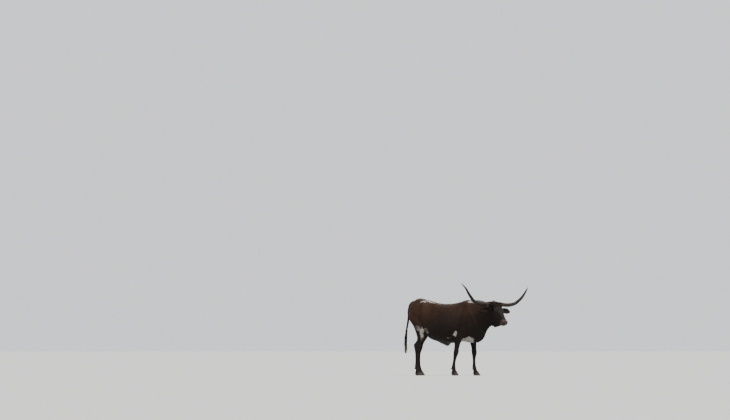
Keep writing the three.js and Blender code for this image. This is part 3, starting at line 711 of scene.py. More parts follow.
def normals_of(mesh, points):
    mesh.vertices.foreach_set("co", points.astype(np.float32).ravel())
    mesh.update()
    return numbers(mesh.vertex_normals, "vector", 3)


# Forms under the hide, in the plan's frame and alike on both sides: start, end, spread, height
BODY_RIDGES = [
    ((-0.58, 0, 1.45), (0.4, 0, 1.4), 0.016, 0.004),  # spine
    ((0.4, 0.09, 1.36), (0.6, 0.185, 1.05), 0.026, 0.009),  # spine of the shoulder blade
    ((0.36, 0.13, 1.27), (0.3, 0.23, 0.93), 0.028, -0.01),  # behind the shoulder
    ((0.5, 0.14, 1.28), (0.66, 0.17, 1.02), 0.026, -0.007),  # in front of the shoulder blade
    ((0.6, 0.17, 1.03), (0.665, 0.16, 0.93), 0.034, 0.01),  # point of the shoulder
    ((0.56, 0.2, 0.98), (0.4, 0.235, 0.9), 0.022, -0.006),  # between arm and shoulder
    ((0.64, 0.16, 0.9), (0.95, 0.1, 1.13), 0.016, -0.007),  # groove of the throat vein
    ((0.66, 0.15, 0.98), (0.96, 0.1, 1.2), 0.03, 0.006),  # muscle from neck to arm
    ((-0.38, 0.15, 1.365), (-0.12, 0.155, 1.33), 0.018, 0.006),  # edge of the loin
    ((-0.45, 0.205, 1.3), (-0.42, 0.22, 0.98), 0.034, 0.009),  # front of the thigh
    ((-0.42, 0.215, 0.9), (-0.24, 0.19, 0.84), 0.022, 0.009),  # fold of the flank
    ((-0.705, 0.125, 1.2), (-0.64, 0.18, 0.86), 0.02, -0.01),  # between the hamstrings
    ((-0.53, 0.235, 1.14), (-0.55, 0.225, 0.88), 0.022, -0.005),  # down the side of the thigh
    ((-0.72, 0.055, 1.375), (-0.77, 0.05, 1.27), 0.02, -0.01),  # beside the root of the tail
    ((-0.56, 0.14, 1.345), (-0.68, 0.11, 1.29), 0.03, -0.009),  # between hook bone and pin bone
    ((0.62, 0.0, 0.67), (0.3, 0.0, 0.62), 0.012, -0.004),  # midline of the breast
]
BODY_SWELLINGS = [
    (-0.445, 0.185, 1.345, 0.034, 0.015),  # hook bone
    (-0.74, 0.085, 1.265, 0.03, 0.012),  # pin bone
    (-0.615, 0.195, 1.17, 0.05, 0.007),  # hip joint
    (-0.29, 0.205, 1.27, 0.058, -0.014),  # hollow of the flank
    (0.36, 0.09, 1.36, 0.035, 0.007),  # top of the shoulder blade
    (0.44, 0.215, 1.0, 0.06, 0.009),  # upper arm
    (0.325, 0.215, 0.84, 0.026, 0.009),  # elbow
    (-0.39, 0.195, 0.87, 0.04, 0.012),  # stifle
    (0.9, 0.12, 1.23, 0.05, -0.006),  # behind the jaw
]
# Ribs: how many, where the first one lies, the way to the next one behind it, and the line of a rib
RIBS = {
    "count": 10, "first": 0.2, "apart": 0.058, "spread": 0.014, "height": 0.0022,
    "line": ((0, 0.17, 1.24), (-0.03, 0.31, 1.02), (-0.05, 0.28, 0.82)),
}
FOLDS = {"apart": 0.052, "height": 0.003}  # of the loose skin under the neck
# The bend of the neck: forward, and how far to the side its middle lies there
NECK_BEND = [
    (0.43, 0), (0.6, -0.004), (0.76, -0.034), (0.9, -0.088), (1.01, -0.148), (1.062, -0.182),
]
# The middle of each leg: at what heights how far forward it lies. Then how far out the legs stand.
LEG_MIDDLES = {
    "foreleg_left": {0.1: 0.48, 0.18: 0.464, 0.34: 0.46, 0.5: 0.454, 0.66: 0.431, 0.78: 0.405},
    "foreleg_right": {0.1: 0.192, 0.18: 0.188, 0.34: 0.218, 0.5: 0.252, 0.66: 0.29, 0.78: 0.34},
    "hindleg_left": {0.1: -0.662, 0.18: -0.682, 0.46: -0.673, 0.58: -0.66, 0.66: -0.598, 0.78: -0.558},
    "hindleg_right": {0.1: -0.552, 0.18: -0.571, 0.46: -0.564, 0.58: -0.557, 0.66: -0.511, 0.78: -0.496},
}
LEG_OUT = 0.161
# In the frame of a leg: forward of its middle, sideways from it, height
FORELEG_RIDGES = [
    ((-0.011, 0.03, 0.19), (-0.013, 0.034, 0.37), 0.0075, -0.0045),  # beside the tendons
    ((0.0, 0.046, 0.53), (-0.012, 0.052, 0.68), 0.012, -0.005),  # between the muscles of the forearm
    ((0.02, 0.044, 0.43), (0.02, 0.044, 0.47), 0.014, 0.003),  # sides of the knee
]
FORELEG_SWELLINGS = [
    (0.04, 0.0, 0.445, 0.022, 0.005),  # front of the knee
    (-0.046, 0.0, 0.462, 0.014, 0.008),  # bone behind the knee
    (-0.004, 0.034, 0.158, 0.016, 0.005),  # fetlock
    (0.0, 0.04, 0.395, 0.02, -0.003),
    (-0.036, 0.0, 0.112, 0.012, -0.004),  # hollow of the heel
]
HINDLEG_RIDGES = [
    ((-0.012, 0.028, 0.19), (-0.014, 0.031, 0.42), 0.0075, -0.0045),
    ((-0.036, 0.036, 0.605), (-0.04, 0.042, 0.69), 0.013, -0.01),  # between heel tendon and shin
    ((0.012, 0.04, 0.5), (0.016, 0.04, 0.55), 0.014, 0.004),  # sides of the hock
    ((0.02, 0.052, 0.7), (0.01, 0.052, 0.8), 0.022, 0.004),
]
HINDLEG_SWELLINGS = [
    (-0.066, 0.0, 0.585, 0.014, 0.008),  # point of the hock
    (-0.004, 0.034, 0.16, 0.016, 0.005),
    (0.038, 0.0, 0.51, 0.022, 0.003),
    (-0.036, 0.0, 0.112, 0.012, -0.004),
]
LEG_FORMS = {
    "foreleg": (FORELEG_RIDGES, FORELEG_SWELLINGS),
    "hindleg": (HINDLEG_RIDGES, HINDLEG_SWELLINGS),
}
# Forms of the face, in the head's frame: start, end, spread, height
FACE_RIDGES = [
    ((0.24, 0.084, -0.082), (0.372, 0.066, -0.1), 0.011, 0.0065),  # crest of the cheek
    ((0.225, 0.046, 0.012), (0.45, 0.032, -0.022), 0.009, 0.0032),  # edges of the nose bone
    ((0.265, 0.078, -0.04), (0.42, 0.06, -0.062), 0.015, -0.006),  # hollow beside the nose bone
    ((0.234, 0.09, -0.06), (0.268, 0.08, -0.068), 0.009, -0.0045),  # hollow before the eye
    ((0.264, 0.085, -0.118), (0.236, 0.068, -0.208), 0.01, -0.0075),  # front edge of the jaw muscle
    ((0.12, 0.088, -0.2), (0.225, 0.066, -0.222), 0.014, 0.0065),  # edge of the jaw bone
    ((0.29, 0.064, -0.165), (0.41, 0.052, -0.148), 0.014, -0.0045),  # hollow of the cheek
    ((0.16, 0.088, -0.004), (0.225, 0.092, -0.022), 0.011, 0.006),  # brow
    ((0.02, 0.104, -0.012), (0.15, 0.098, -0.01), 0.013, 0.005),  # edge of the forehead
    ((0.045, 0.108, -0.08), (0.14, 0.1, -0.092), 0.022, -0.007),  # temple
    ((0.15, 0.1, -0.104), (0.25, 0.085, -0.094), 0.012, 0.0045),  # arch of the cheek
    ((0.12, 0.0, 0.03), (0.21, 0.0, 0.012), 0.04, -0.004),  # dish between the eyes
    ((0.396, 0.064, -0.052), (0.44, 0.064, -0.1), 0.013, -0.0045),  # behind the nostril
    ((0.45, 0.068, -0.096), (0.518, 0.048, -0.104), 0.009, 0.004),  # upper lip
    ((0.541, 0.0, -0.07), (0.534, 0.0, -0.112), 0.0035, -0.0035),  # groove down the nose
    ((0.468, 0.0, -0.152), (0.51, 0.0, -0.143), 0.026, 0.0125),  # chin
]
MOUTH_CORNER = (0.428, -0.1065)  # down the face and height, in the head's frame
MOUTH_SLOPE = -0.1
MOUTH_DEPTH = 0.0075
MOUTH_WIDTH = 0.0022
LOWER_LIP_BACK = 0.003
# The nostril: inner and outer end of its slit and how it bows between them, its half width at both ends,
# its depth, and its raised rim
NOSTRIL = {
    "inner": (0.534, 0.029, -0.079), "outer": (0.498, 0.064, -0.056),
    "bow": np.array([0.003, 0.003, 0.007]), "half": (0.008, 0.0042), "depth": 0.017, "rim": 0.0045,
}


def nostril_distance(face):
    """How far each place of the face is from the slit of its nostril: 1 is the pit's edge."""
    inner, outer = np.array(NOSTRIL["inner"]), np.array(NOSTRIL["outer"])
    line = outer - inner
    folded = both_sides(face)
    share = np.clip((folded - inner) @ line / (line @ line), 0, 1)
    bent = inner + share[:, None] * line + np.sin(np.pi * share)[:, None] * NOSTRIL["bow"]
    thick, thin = NOSTRIL["half"]
    return norm(folded - bent) / (thick + share * (thin - thick))


def mouth_distance(face):
    """Height above the line of the mouth, and how strongly the mouth shows there."""
    ahead = face[:, 0] - MOUTH_CORNER[0]
    line = MOUTH_CORNER[1] + MOUTH_SLOPE * ahead + 0.1 * np.maximum(0.02 - ahead, 0)
    return face[:, 2] - line, smooth_step(ahead, -0.012, 0.012)


def face_relief(points):
    """The fine forms of the face, as a height above the smoothed skin."""
    face = to_head(points)
    total = ridges(face, FACE_RIDGES)
    above, strength = mouth_distance(face)
    total -= strength * MOUTH_DEPTH * np.exp(-(above**2) / (2 * MOUTH_WIDTH**2))
    total -= strength * LOWER_LIP_BACK * smooth_step(-above, 0, 0.006) * smooth_step(above, -0.05, -0.02)
    far = nostril_distance(face)
    total -= NOSTRIL["depth"] * smooth_step(far, 1.45, 0.45)
    total += NOSTRIL["rim"] * np.exp(-((far - 2.1) ** 2) / 0.35)
    return total + 0.0008 * noise(face, 0.02, 9)


def straightened(points):
    """The plan's frame with the bend of the neck taken out."""
    plan = to_plan(points).copy()
    x, y = np.array(NECK_BEND).T
    plan[:, 1] -= np.interp(plan[:, 0], x, y)
    return plan


def body_relief(points):
    """The fine forms of the trunk and neck, as a height above the smoothed skin."""
    plan = straightened(points)
    total = ridges(plan, BODY_RIDGES) + swell(plan, BODY_SWELLINGS)
    folded = both_sides(plan)
    for rib in range(RIBS["count"]):
        line = [(RIBS["first"] - RIBS["apart"] * rib + x, y, z) for x, y, z in RIBS["line"]]
        bars = [ridge(folded, *ends, RIBS["spread"], RIBS["height"]) for ends in zip(line, line[1:])]
        total += np.maximum(*bars)
    # loose folds down the dewlap and the throat, strongest along its edge
    slant = plan[:, 0] * 0.9 + plan[:, 2] * 0.35
    wave = np.sin(2 * np.pi * (slant + 0.012 * noise(plan, 0.09, 3)) / FOLDS["apart"])
    loose = smooth_step(plan[:, 0], 0.58, 0.74) * smooth_step(plan[:, 2], 1.16, 0.92)
    total += FOLDS["height"] * wave * loose
    return total + 0.0018 * noise(plan, 0.11, 5) + 0.0009 * noise(plan, 0.035, 7)


def leg_relief(points, belongs):
    """The fine forms of the legs, each in the frame of its own leg."""
    plan = to_plan(points)
    total = np.zeros(len(points))
    for leg, middles in LEG_MIDDLES.items():
        ahead = plan[:, 0] - np.interp(plan[:, 2], list(middles), list(middles.values()))
        local = np.stack([ahead, np.abs(plan[:, 1]) - LEG_OUT, plan[:, 2]], 1)
        ridge_rows, swelling_rows = LEG_FORMS[leg.split("_")[0]]
        share = belongs[:, REGIONS.index(leg)]
        total += share * ridges(local, ridge_rows)
        total += share * swell(local, swelling_rows)
    return total


def make_skin(sources):
    """The skin's mesh and what is known of each of its vertices."""
    mesh = skin_surface(sources)
    relax = Relaxer(mesh)
    owner = nearest_region(numbers(mesh.vertices, "co", 3), sources)
    belongs = relax(np.stack([owner == k for k in range(len(REGIONS))], 1).astype(float), 0.6, 14)
    skin = {
        "mesh": mesh, "relax": relax, "belongs": belongs, "owner": belongs.argmax(1),
        "torso": belongs[:, 0], "neck": belongs[:, 1], "head": belongs[:, 2],
        "ear": belongs[:, 3] + belongs[:, 4], "leg": belongs[:, 5:9].sum(1), "tail": belongs[:, 9],
    }
    trunk = skin["torso"] + skin["neck"]
    points = relax.keep_size(numbers(mesh.vertices, "co", 3), blend(0, skin), 60)
    points = relax(points, 0.5 * trunk, 12)
    normals = normals_of(mesh, points)
    height = face_relief(points) * smooth_step(skin["head"], 0.4, 0.8)
    height += body_relief(points) * (1 - smooth_step(skin["head"] + skin["ear"], 0.3, 0.7))
    height += leg_relief(points, belongs)
    points = points + normals * (height - blend(1, skin))[:, None]
    points = relax(points, 0.3 * (trunk + skin["leg"]), 3)
    skin["points"], skin["normals"] = points, normals_of(mesh, points)
    mesh.calc_loop_triangles()
    skin["corners"] = numbers(mesh.loop_triangles, "vertices", 3, np.int32)
    a, b, c = (points[skin["corners"][:, k]] for k in range(3))
    skin["area"] = norm(np.cross(b - a, c - a)) / 2
    return skin


# Markings and painted sheen, which skin and hair share

# White hair, and white hair that paints the sky's sheen along the topline, in the plan's frame: start,
# end, radius, strength
WHITE_AND_SHEEN_BANDS = [
    ((-0.492, -0.135, 1.385), (-0.43, -0.14, 1.378), 0.026, 1.2),  # painted highlight on the hook bone, as a white dash
    ((-0.4, -0.08, 1.405), (-0.115, -0.08, 1.352), 0.025, 0.95),  # painted sheen of the sky along the loin, as white hair
    ((0.3, -0.07, 1.385), (0.44, -0.065, 1.402), 0.022, 0.85),  # painted sheen of the sky along the withers, as white hair
    ((0.46, -0.058, 1.396), (0.652, -0.08, 1.378), 0.036, 1.15),  # painted sheen of the sky along the crest of the neck, as white hair
    ((0.652, -0.08, 1.378), (0.88, -0.135, 1.34), 0.034, 1.1),
    ((-0.46, 0.11, 1.398), (-0.24, 0.12, 1.352), 0.028, 0.9),  # painted sheen of the sky along the loin, left, as white hair
    ((0.38, 0.075, 1.385), (0.62, 0.07, 1.38), 0.032, 0.95),  # painted sheen of the sky along the withers, left, as white hair
    ((0.24, -0.245, 0.748), (0.264, -0.245, 0.795), 0.032, 1.15),  # behind the right elbow
    ((0.2, 0.235, 0.7), (0.29, 0.24, 0.715), 0.03, 0.9),  # left chest
    ((0.33, -0.06, 0.64), (0.5, -0.07, 0.68), 0.075, 1.1),  # floor of the chest
    ((0.4, 0.04, 0.635), (0.52, 0.03, 0.66), 0.06, 1.0),
]
# Roan hair, white and dark mixed: middle, radii, share of white
ROAN_PATCHES = [
    ((-0.445, -0.225, 0.79), (0.05, 0.09, 0.14), 0.78),
    ((-0.365, -0.2, 0.83), (0.055, 0.09, 0.095), 0.66),
    ((-0.525, -0.215, 0.88), (0.06, 0.08, 0.065), 0.48),
    ((-0.44, -0.21, 0.7), (0.045, 0.09, 0.09), 0.45),
    ((-0.47, 0.225, 0.84), (0.095, 0.09, 0.13), 0.66),
    ((-0.6, 0.15, 0.7), (0.06, 0.08, 0.1), 0.5),
    ((0.11, -0.2, 0.715), (0.06, 0.06, 0.035), 0.5),
    ((0.05, 0.0, 0.6), (0.22, 0.13, 0.06), 0.42),
    ((-0.33, 0.0, 0.7), (0.12, 0.12, 0.06), 0.5),
]


def white_and_sheen_amounts(points):
    """How white the hair is at each place, the sky's sheen along the topline painted as white hair too,
    and how much white is mixed in, before the fine mottling.
    """
    plan = to_plan(points)
    strayed = plan + 0.02 * noises(plan, 0.06, (11, 12, 13)) + 0.007 * noises(plan, 0.016, (16, 17, 18))
    white, roan = np.zeros(len(points)), np.zeros(len(points))
    # the bands along the topline are painted sheen of the sky, drawn as white hair
    for start, end, radius, strength in WHITE_AND_SHEEN_BANDS:
        white = np.maximum(white, ridge(strayed, start, end, radius * 0.75, strength))
    mottled = 1 + 0.45 * noise(plan, 0.034, 15)
    for centre, radii, share in ROAN_PATCHES:
        far = norm((strayed - centre) / radii)
        roan = np.maximum(roan, share * smooth_step(far, 1.25, 0.55) * mottled)
    # a few scattered white hairs along the edges of every patch
    return white, np.maximum(roan, 0.3 * smooth_step(white, 0.1, 0.5))


def warm_amount(points):
    """From 0, nearly black, to 1, warm chestnut along the back and rump."""
    plan = to_plan(points)
    back = smooth_step(plan[:, 2], 0.78, 1.38)
    rump = smooth_step(plan[:, 0], -0.05, -0.55) * smooth_step(plan[:, 2], 0.55, 1.05)
    head = smooth_step(plan[:, 0], 0.62, 1.0)
    return np.clip(0.1 + 0.52 * back + 0.34 * rump - 0.38 * head + 0.1 * noise(plan, 0.16, 21), 0, 1)


def bare_amounts(points, ear_hollow=0.0):
    """How much shows of the muzzle's skin, of thin pinkish skin, and of dark wet skin."""
    face = to_head(points)
    above, strength = mouth_distance(face)
    pad = smooth_step(face[:, 0] + 0.25 * (face[:, 2] + 0.09), 0.488, 0.5)
    pad = pad * smooth_step(above, -0.012, 0.004)
    lip = smooth_step(face[:, 0], 0.478, 0.5) * smooth_step(above, -0.016, -0.006) * (above < 0)
    nostril = smooth_step(nostril_distance(face), 1.25, 0.85)
    line = strength * np.exp(-(above**2) / (2 * 0.003**2))
    rim = smooth_step(norm((both_sides(face) - EYE_AT) * [0.8, 0.6, 1.1]), 0.036, 0.027)
    dark = np.maximum.reduce([nostril, 0.8 * line, 0.8 * rim])
    return np.stack([np.maximum(pad, 0.7 * lip), ear_hollow + np.zeros(len(points)), dark], 1)


def mealy_amount(points):
    """How pale the hair is round the muzzle, the eyes and under the jaw."""
    face = both_sides(to_head(points))
    place = face[:, 0] + 0.01 * noise(face, 0.03, 23)
    snout = smooth_step(place, 0.44, 0.492) * (face[:, 1] < 0.12) * (face[:, 0] < 0.6)
    ring = norm((face - EYE_AT) * [0.75, 1, 1])
    return np.maximum(snout, 0.4 * np.exp(-((ring - 0.031) ** 2) / (2 * 0.008**2)))


def mark(mesh, roots, bare, tint=1.0, along=0.0):
    """Writes what the materials read: where each hair is rooted and how it is marked there, the painted
    sheen included.
    """
    white, roan = white_and_sheen_amounts(roots)
    nothing = np.zeros(len(roots))
    set_attribute(mesh, "root", to_plan(roots))
    set_attribute(mesh, "marks", np.stack([white, roan, warm_amount(roots)], 1))
    set_attribute(mesh, "bare", bare)
    set_attribute(mesh, "shade", np.stack([mealy_amount(roots), nothing + tint, nothing + along], 1))


# Materials


class Value:
    """A value in a material. Sums, products and the like of values add the nodes that work them out."""

    def __init__(self, shader, socket):
        self.shader, self.socket = shader, socket

    def math(self, operation, first, second=0.0):
        return self.shader.node("ShaderNodeMath", {0: first, 1: second}, operation=operation)

    def __add__(self, other):
        return self.math("ADD", self, other)

    def __mul__(self, other):
        return self.math("MULTIPLY", self, other)

    def __rsub__(self, other):
        return self.math("SUBTRACT", other, self)

    def __pow__(self, other):
        return self.math("POWER", self, other)

    def at_least(self, other):
        return self.math("MAXIMUM", self, other)

    def root(self):
        return self.math("SQRT", self)

    def parts(self):
        return self.shader.node("ShaderNodeSeparateXYZ", {"Vector": self}, (0, 1, 2))

    def ramp(self, low, high, to_low=0.0, to_high=1.0):
        inputs = {"Value": self, "From Min": low, "From Max": high, "To Min": to_low, "To Max": to_high}
        return self.shader.node("ShaderNodeMapRange", inputs, interpolation_type="SMOOTHSTEP")

    def mix(self, first, second):
        """The first colour where this value is 0, and the second where it is 1."""
        return self.shader.mix(self, first, second, "MIX")

    def lit(self, light):
        """This colour, made darker or lighter."""
        grey = self.shader.node("ShaderNodeCombineXYZ", {"X": light, "Y": light, "Z": light})
        return self.shader.mix(1.0, self, grey, "MULTIPLY")

    def noise(self, scale, detail=2.0, stretch=None):
        vector = self
        if stretch:
            vector = self.shader.node("ShaderNodeMapping", {"Vector": self, "Scale": stretch})
        inputs = {"Vector": vector, "Scale": scale, "Detail": detail, "Roughness": 0.55}
        return self.shader.node("ShaderNodeTexNoise", inputs)

    def bump(self, distance, strength, **under):
        inputs = {"Height": self, "Distance": distance, "Strength": strength, **under}
        return self.shader.node("ShaderNodeBump", inputs)


class Shader:
    """A material and its nodes."""

    def __init__(self, name):
        self.material = bpy.data.materials.new(name)
        self.material.use_nodes = True
        self.tree = self.material.node_tree

    def feed(self, socket, value):
        if isinstance(value, Value):
            self.tree.links.new(value.socket, socket)
        else:
            socket.default_value = (*value, 1.0) if socket.type == "RGBA" else value

    def node(self, kind, inputs, output=0, **settings):
        """Adds a node and gives one of its outputs, or a list of them."""
        made = self.tree.nodes.new(kind)
        for name, value in settings.items():
            setattr(made, name, value)
        for name, value in inputs.items():
            self.feed(made.inputs[name], value)
        if isinstance(output, tuple):
            return [Value(self, made.outputs[number]) for number in output]
        return Value(self, made.outputs[output])

    def attribute(self, name, output="Vector"):
        return self.node("ShaderNodeAttribute", {}, output, attribute_name=name)

    def place(self):
        return self.node("ShaderNodeTexCoord", {}, "Object")

    def mix(self, share, first, second, blend_type):
        inputs = {"Factor": share, 6: first, 7: second}
        return self.node("ShaderNodeMix", inputs, 2, data_type="RGBA", blend_type=blend_type)

    def finish(self, **inputs):
        for name, value in inputs.items():
            self.feed(self.tree.nodes["Principled BSDF"].inputs[name.replace("_", " ")], value)
        return self.material


COLOURS = {
    "dark coat": (0.006, 0.0036, 0.0026), "warm coat": (0.029, 0.0128, 0.006),
    # the white hair colour also paints the sky's sheen along the topline
    "white hair and painted sheen": (0.27, 0.245, 0.22), "mealy hair": (0.03, 0.019, 0.013),
    "bleached hair": (0.2, 0.135, 0.08), "muzzle": (0.064, 0.043, 0.036),
    "dark muzzle": (0.012, 0.009, 0.008), "thin skin": (0.011, 0.0068, 0.0052),
    "wet skin": (0.008, 0.006, 0.005), "horn": (0.019, 0.0133, 0.0095),
    "horn flake": (0.0072, 0.0054, 0.0042), "horn grain": (0.034, 0.026, 0.019),
    "horn groove": (0.013, 0.0092, 0.0066), "horn ring": (0.038, 0.028, 0.0195),
    "horn tip": (0.0042, 0.0034, 0.003), "hoof": (0.01, 0.0075, 0.006),
    "hoof grain": (0.03, 0.022, 0.0165), "dusty hoof": (0.06, 0.046, 0.033),
    "iris": (0.005, 0.0026, 0.0014), "iris streak": (0.011, 0.0056, 0.003),
    "iris rim": (0.003, 0.002, 0.0016), "pupil": (0.001, 0.001, 0.0015),
    "eye white": (0.07, 0.045, 0.036), "floor": (0.5, 0.497, 0.49), "floor patch": (0.47, 0.467, 0.46),
}


def coat_colour(shader):
    """The colour of the coat, from the marks and the painted sheen at the root of each hair. Skin and
    hair share it.
    """
    root = shader.attribute("root")
    white, roan, warm = shader.attribute("marks").parts()
    mealy, tint, along = shader.attribute("shade").parts()
    fine, flecks, broad = root.noise(150.0), root.noise(420.0, 1.0), root.noise(9.0, 3.0)
    base = (warm + broad * 0.34 + -0.17).ramp(0.0, 1.0).mix(COLOURS["dark coat"], COLOURS["warm coat"])
    base = base.lit(fine.ramp(0.35, 0.7, 0.78, 1.25))
    base = (mealy + fine * 0.5).ramp(0.55, 1.25).mix(base, COLOURS["mealy hair"])
    # white patches, and the white hair that paints the sky's sheen along the topline
    patches = (white + fine * 0.5 + flecks * 0.45).ramp(0.86, 1.06)
    mixed = (roan + flecks * 1.5 + fine * 0.5).ramp(1.42, 1.75, 0.0, 0.85)
    return patches.at_least(mixed).mix(base, COLOURS["white hair and painted sheen"]), root, tint, along


def skin_material():
    shader = Shader("short_coat")
    base, root, _, _ = coat_colour(shader)
    muzzle, thin, dark = shader.attribute("bare").parts()
    flesh = root.noise(44.0, 4.0).ramp(0.4, 0.6).mix(COLOURS["muzzle"], COLOURS["dark muzzle"])
    base = thin.mix(base, COLOURS["thin skin"])
    base = dark.mix(muzzle.mix(base, flesh), COLOURS["wet skin"])
    combed = root.noise(1.0, 2.0, (95.0, 330.0, 240.0))
    combed_down = root.noise(1.0, 2.0, (330.0, 330.0, 90.0))
    lower = root.parts()[2].ramp(0.8, 0.62)
    hair = combed * (1.0 - lower) + combed_down * lower
    furred = 1.0 - muzzle.at_least(dark)
    coat_bump = (hair * furred).bump(0.0035, 0.55)
    cells = {"Vector": root, "Scale": 330.0}
    edges = shader.node("ShaderNodeTexVoronoi", cells, feature="DISTANCE_TO_EDGE")
    pebbles = edges.ramp(0.0, 0.25) * muzzle
    wet = (muzzle * 0.8).at_least(dark)
    return shader.finish(
        Base_Color=base, Roughness=wet.ramp(0.0, 1.0, 0.62, 0.3), Specular_IOR_Level=0.12,
        Normal=pebbles.bump(0.0012, 0.7, Normal=coat_bump),
    )


def coat_material():
    shader = Shader("hair_tufts")
    base, _, tint, along = coat_colour(shader)
    base = base.lit(along.ramp(0.0, 1.0, 0.74, 1.2) * tint)
    _, thin, _ = shader.attribute("bare").parts()
    bleached = (thin * along).mix(base, COLOURS["bleached hair"])
    return shader.finish(Base_Color=bleached, Roughness=0.58, Specular_IOR_Level=0.12)


def horn_material():
    shader = Shader("horn")
    along, place = shader.attribute("along", "Fac"), shader.attribute("root")
    grain = place.noise(1.0, 3.0, (260.0, 260.0, 14.0))
    flakes = place.noise(1.0, 4.0, (60.0, 60.0, 22.0))
    rings = place.noise(1.0, 2.0, (3.0, 3.0, 150.0))
    base = flakes.ramp(0.35, 0.7).mix(COLOURS["horn"], COLOURS["horn flake"])
    base = grain.ramp(0.45, 0.75, 0.0, 0.55).mix(base, COLOURS["horn grain"])
    ringed = rings.ramp(0.35, 0.65).mix(COLOURS["horn groove"], COLOURS["horn ring"])
    base = along.ramp(0.24, 0.05).mix(base, ringed)
    base = (along + flakes * 0.16).ramp(0.6, 0.86).mix(base, COLOURS["horn tip"])
    height = (rings + grain * 0.5) * along.ramp(0.0, 0.5, 1.0, 0.25)
    return shader.finish(
        Base_Color=base, Roughness=flakes.ramp(0.3, 0.7, 0.38, 0.55),
        Normal=height.bump(0.0022, 0.6), Specular_IOR_Level=0.17,
    )


def hoof_material():
    shader = Shader("hoof")
    place = shader.place()
    rings = place.noise(1.0, 2.0, (14.0, 14.0, 260.0))
    grain = place.noise(1.0, 3.0, (300.0, 300.0, 30.0))
    base = grain.ramp(0.35, 0.7).mix(COLOURS["hoof"], COLOURS["hoof grain"])
    base = place.parts()[2].ramp(0.03, 0.0, 0.0, 0.6).mix(base, COLOURS["dusty hoof"])
    return shader.finish(
        Base_Color=base, Roughness=grain.ramp(0.3, 0.7, 0.45, 0.65),
        Normal=(rings + grain * 0.4).bump(0.0018, 0.6), Specular_IOR_Level=0.25,
    )


def eye_material():
    shader = Shader("eye")
    place = shader.attribute("root")
    along, up, _ = place.parts()
    across = (along**2.0 + up**2.0).root()
    iris = place.noise(9.0, 3.0).ramp(0.35, 0.65).mix(COLOURS["iris"], COLOURS["iris streak"])
    iris = across.ramp(0.5, 0.66).mix(iris, COLOURS["iris rim"])
    pupil = (along**2.0 + (up * 1.9) ** 2.0).root().ramp(0.44, 0.36)
    base = across.ramp(0.76, 0.84).mix(pupil.mix(iris, COLOURS["pupil"]), COLOURS["eye white"])
    return shader.finish(
        Base_Color=base, Roughness=0.4, Specular_IOR_Level=0.0, Coat_Weight=0.35, Coat_Roughness=0.03,
    )


# Hair

BAKE_PATCH = 0.003


# Where each region lies on the unwrap of the skin: left, bottom, width, height
CHART = {
    "torso": (0, 0, 1, 0.4), "neck": (0, 0.41, 0.6, 0.13), "head": (0.61, 0.41, 0.39, 0.23),
    "ear_left": (0, 0.56, 0.14, 0.09), "ear_right": (0.15, 0.56, 0.14, 0.09),
    "foreleg_left": (0, 0.67, 0.24, 0.32), "foreleg_right": (0.25, 0.67, 0.24, 0.32),
    "hindleg_left": (0.5, 0.67, 0.24, 0.32), "hindleg_right": (0.75, 0.67, 0.24, 0.32),
    "tail": (0.3, 0.56, 0.3, 0.09),
}
# What the regions are unrolled round
TRUNK_MIDDLE = 1.02  # height in the plan's frame
HEAD_MIDDLE = -0.09  # height in the head's frame
EAR_MIDDLE = (0.082, -0.08)  # down the face and height in the head's frame
CHART_LEVEL = 0.04  # height of a slice of leg or tail, each with a middle of its own


def chart(points, owner):
    """Each root's place on the unwrap of the skin: every region is unrolled round its own middle."""
    plan, face = to_plan(points), to_head(points)
    places = np.zeros((len(points), 2))
    for number, region in enumerate(REGIONS):
        mine = owner == number
        if not mine.any():
            continue
        x, y, z = (face if number in (2, 3, 4) else plan)[mine].T
        if number < 2:
            length, a, b = x, y, z - TRUNK_MIDDLE
        elif region == "head":
            length, a, b = x, y, z - HEAD_MIDDLE
        elif number < 5:
            length, a, b = np.abs(y), x - EAR_MIDDLE[0], z - EAR_MIDDLE[1]
        else:
            length, a, b = z, x, y
            level = np.round(z / CHART_LEVEL).astype(int)
            for here in (level == step for step in np.unique(level)):
                for line in (a, b):
                    line[here] -= (line[here].min() + line[here].max()) / 2
        left, bottom, width, height = CHART[region]
        turn = np.arctan2(a, b) / (2 * np.pi) + 0.5
        share = (length - length.min()) / max(np.ptp(length), 1e-6)
        places[mine, 0] = left + BAKE_PATCH + turn * (width - 2 * BAKE_PATCH)
        places[mine, 1] = bottom + BAKE_PATCH + share * (height - 2 * BAKE_PATCH)
    return places


# Angles of the three corners round a strand: two at its edges and one on its raised side
SECTION = np.array([-2.9, -0.24, 1.5708])


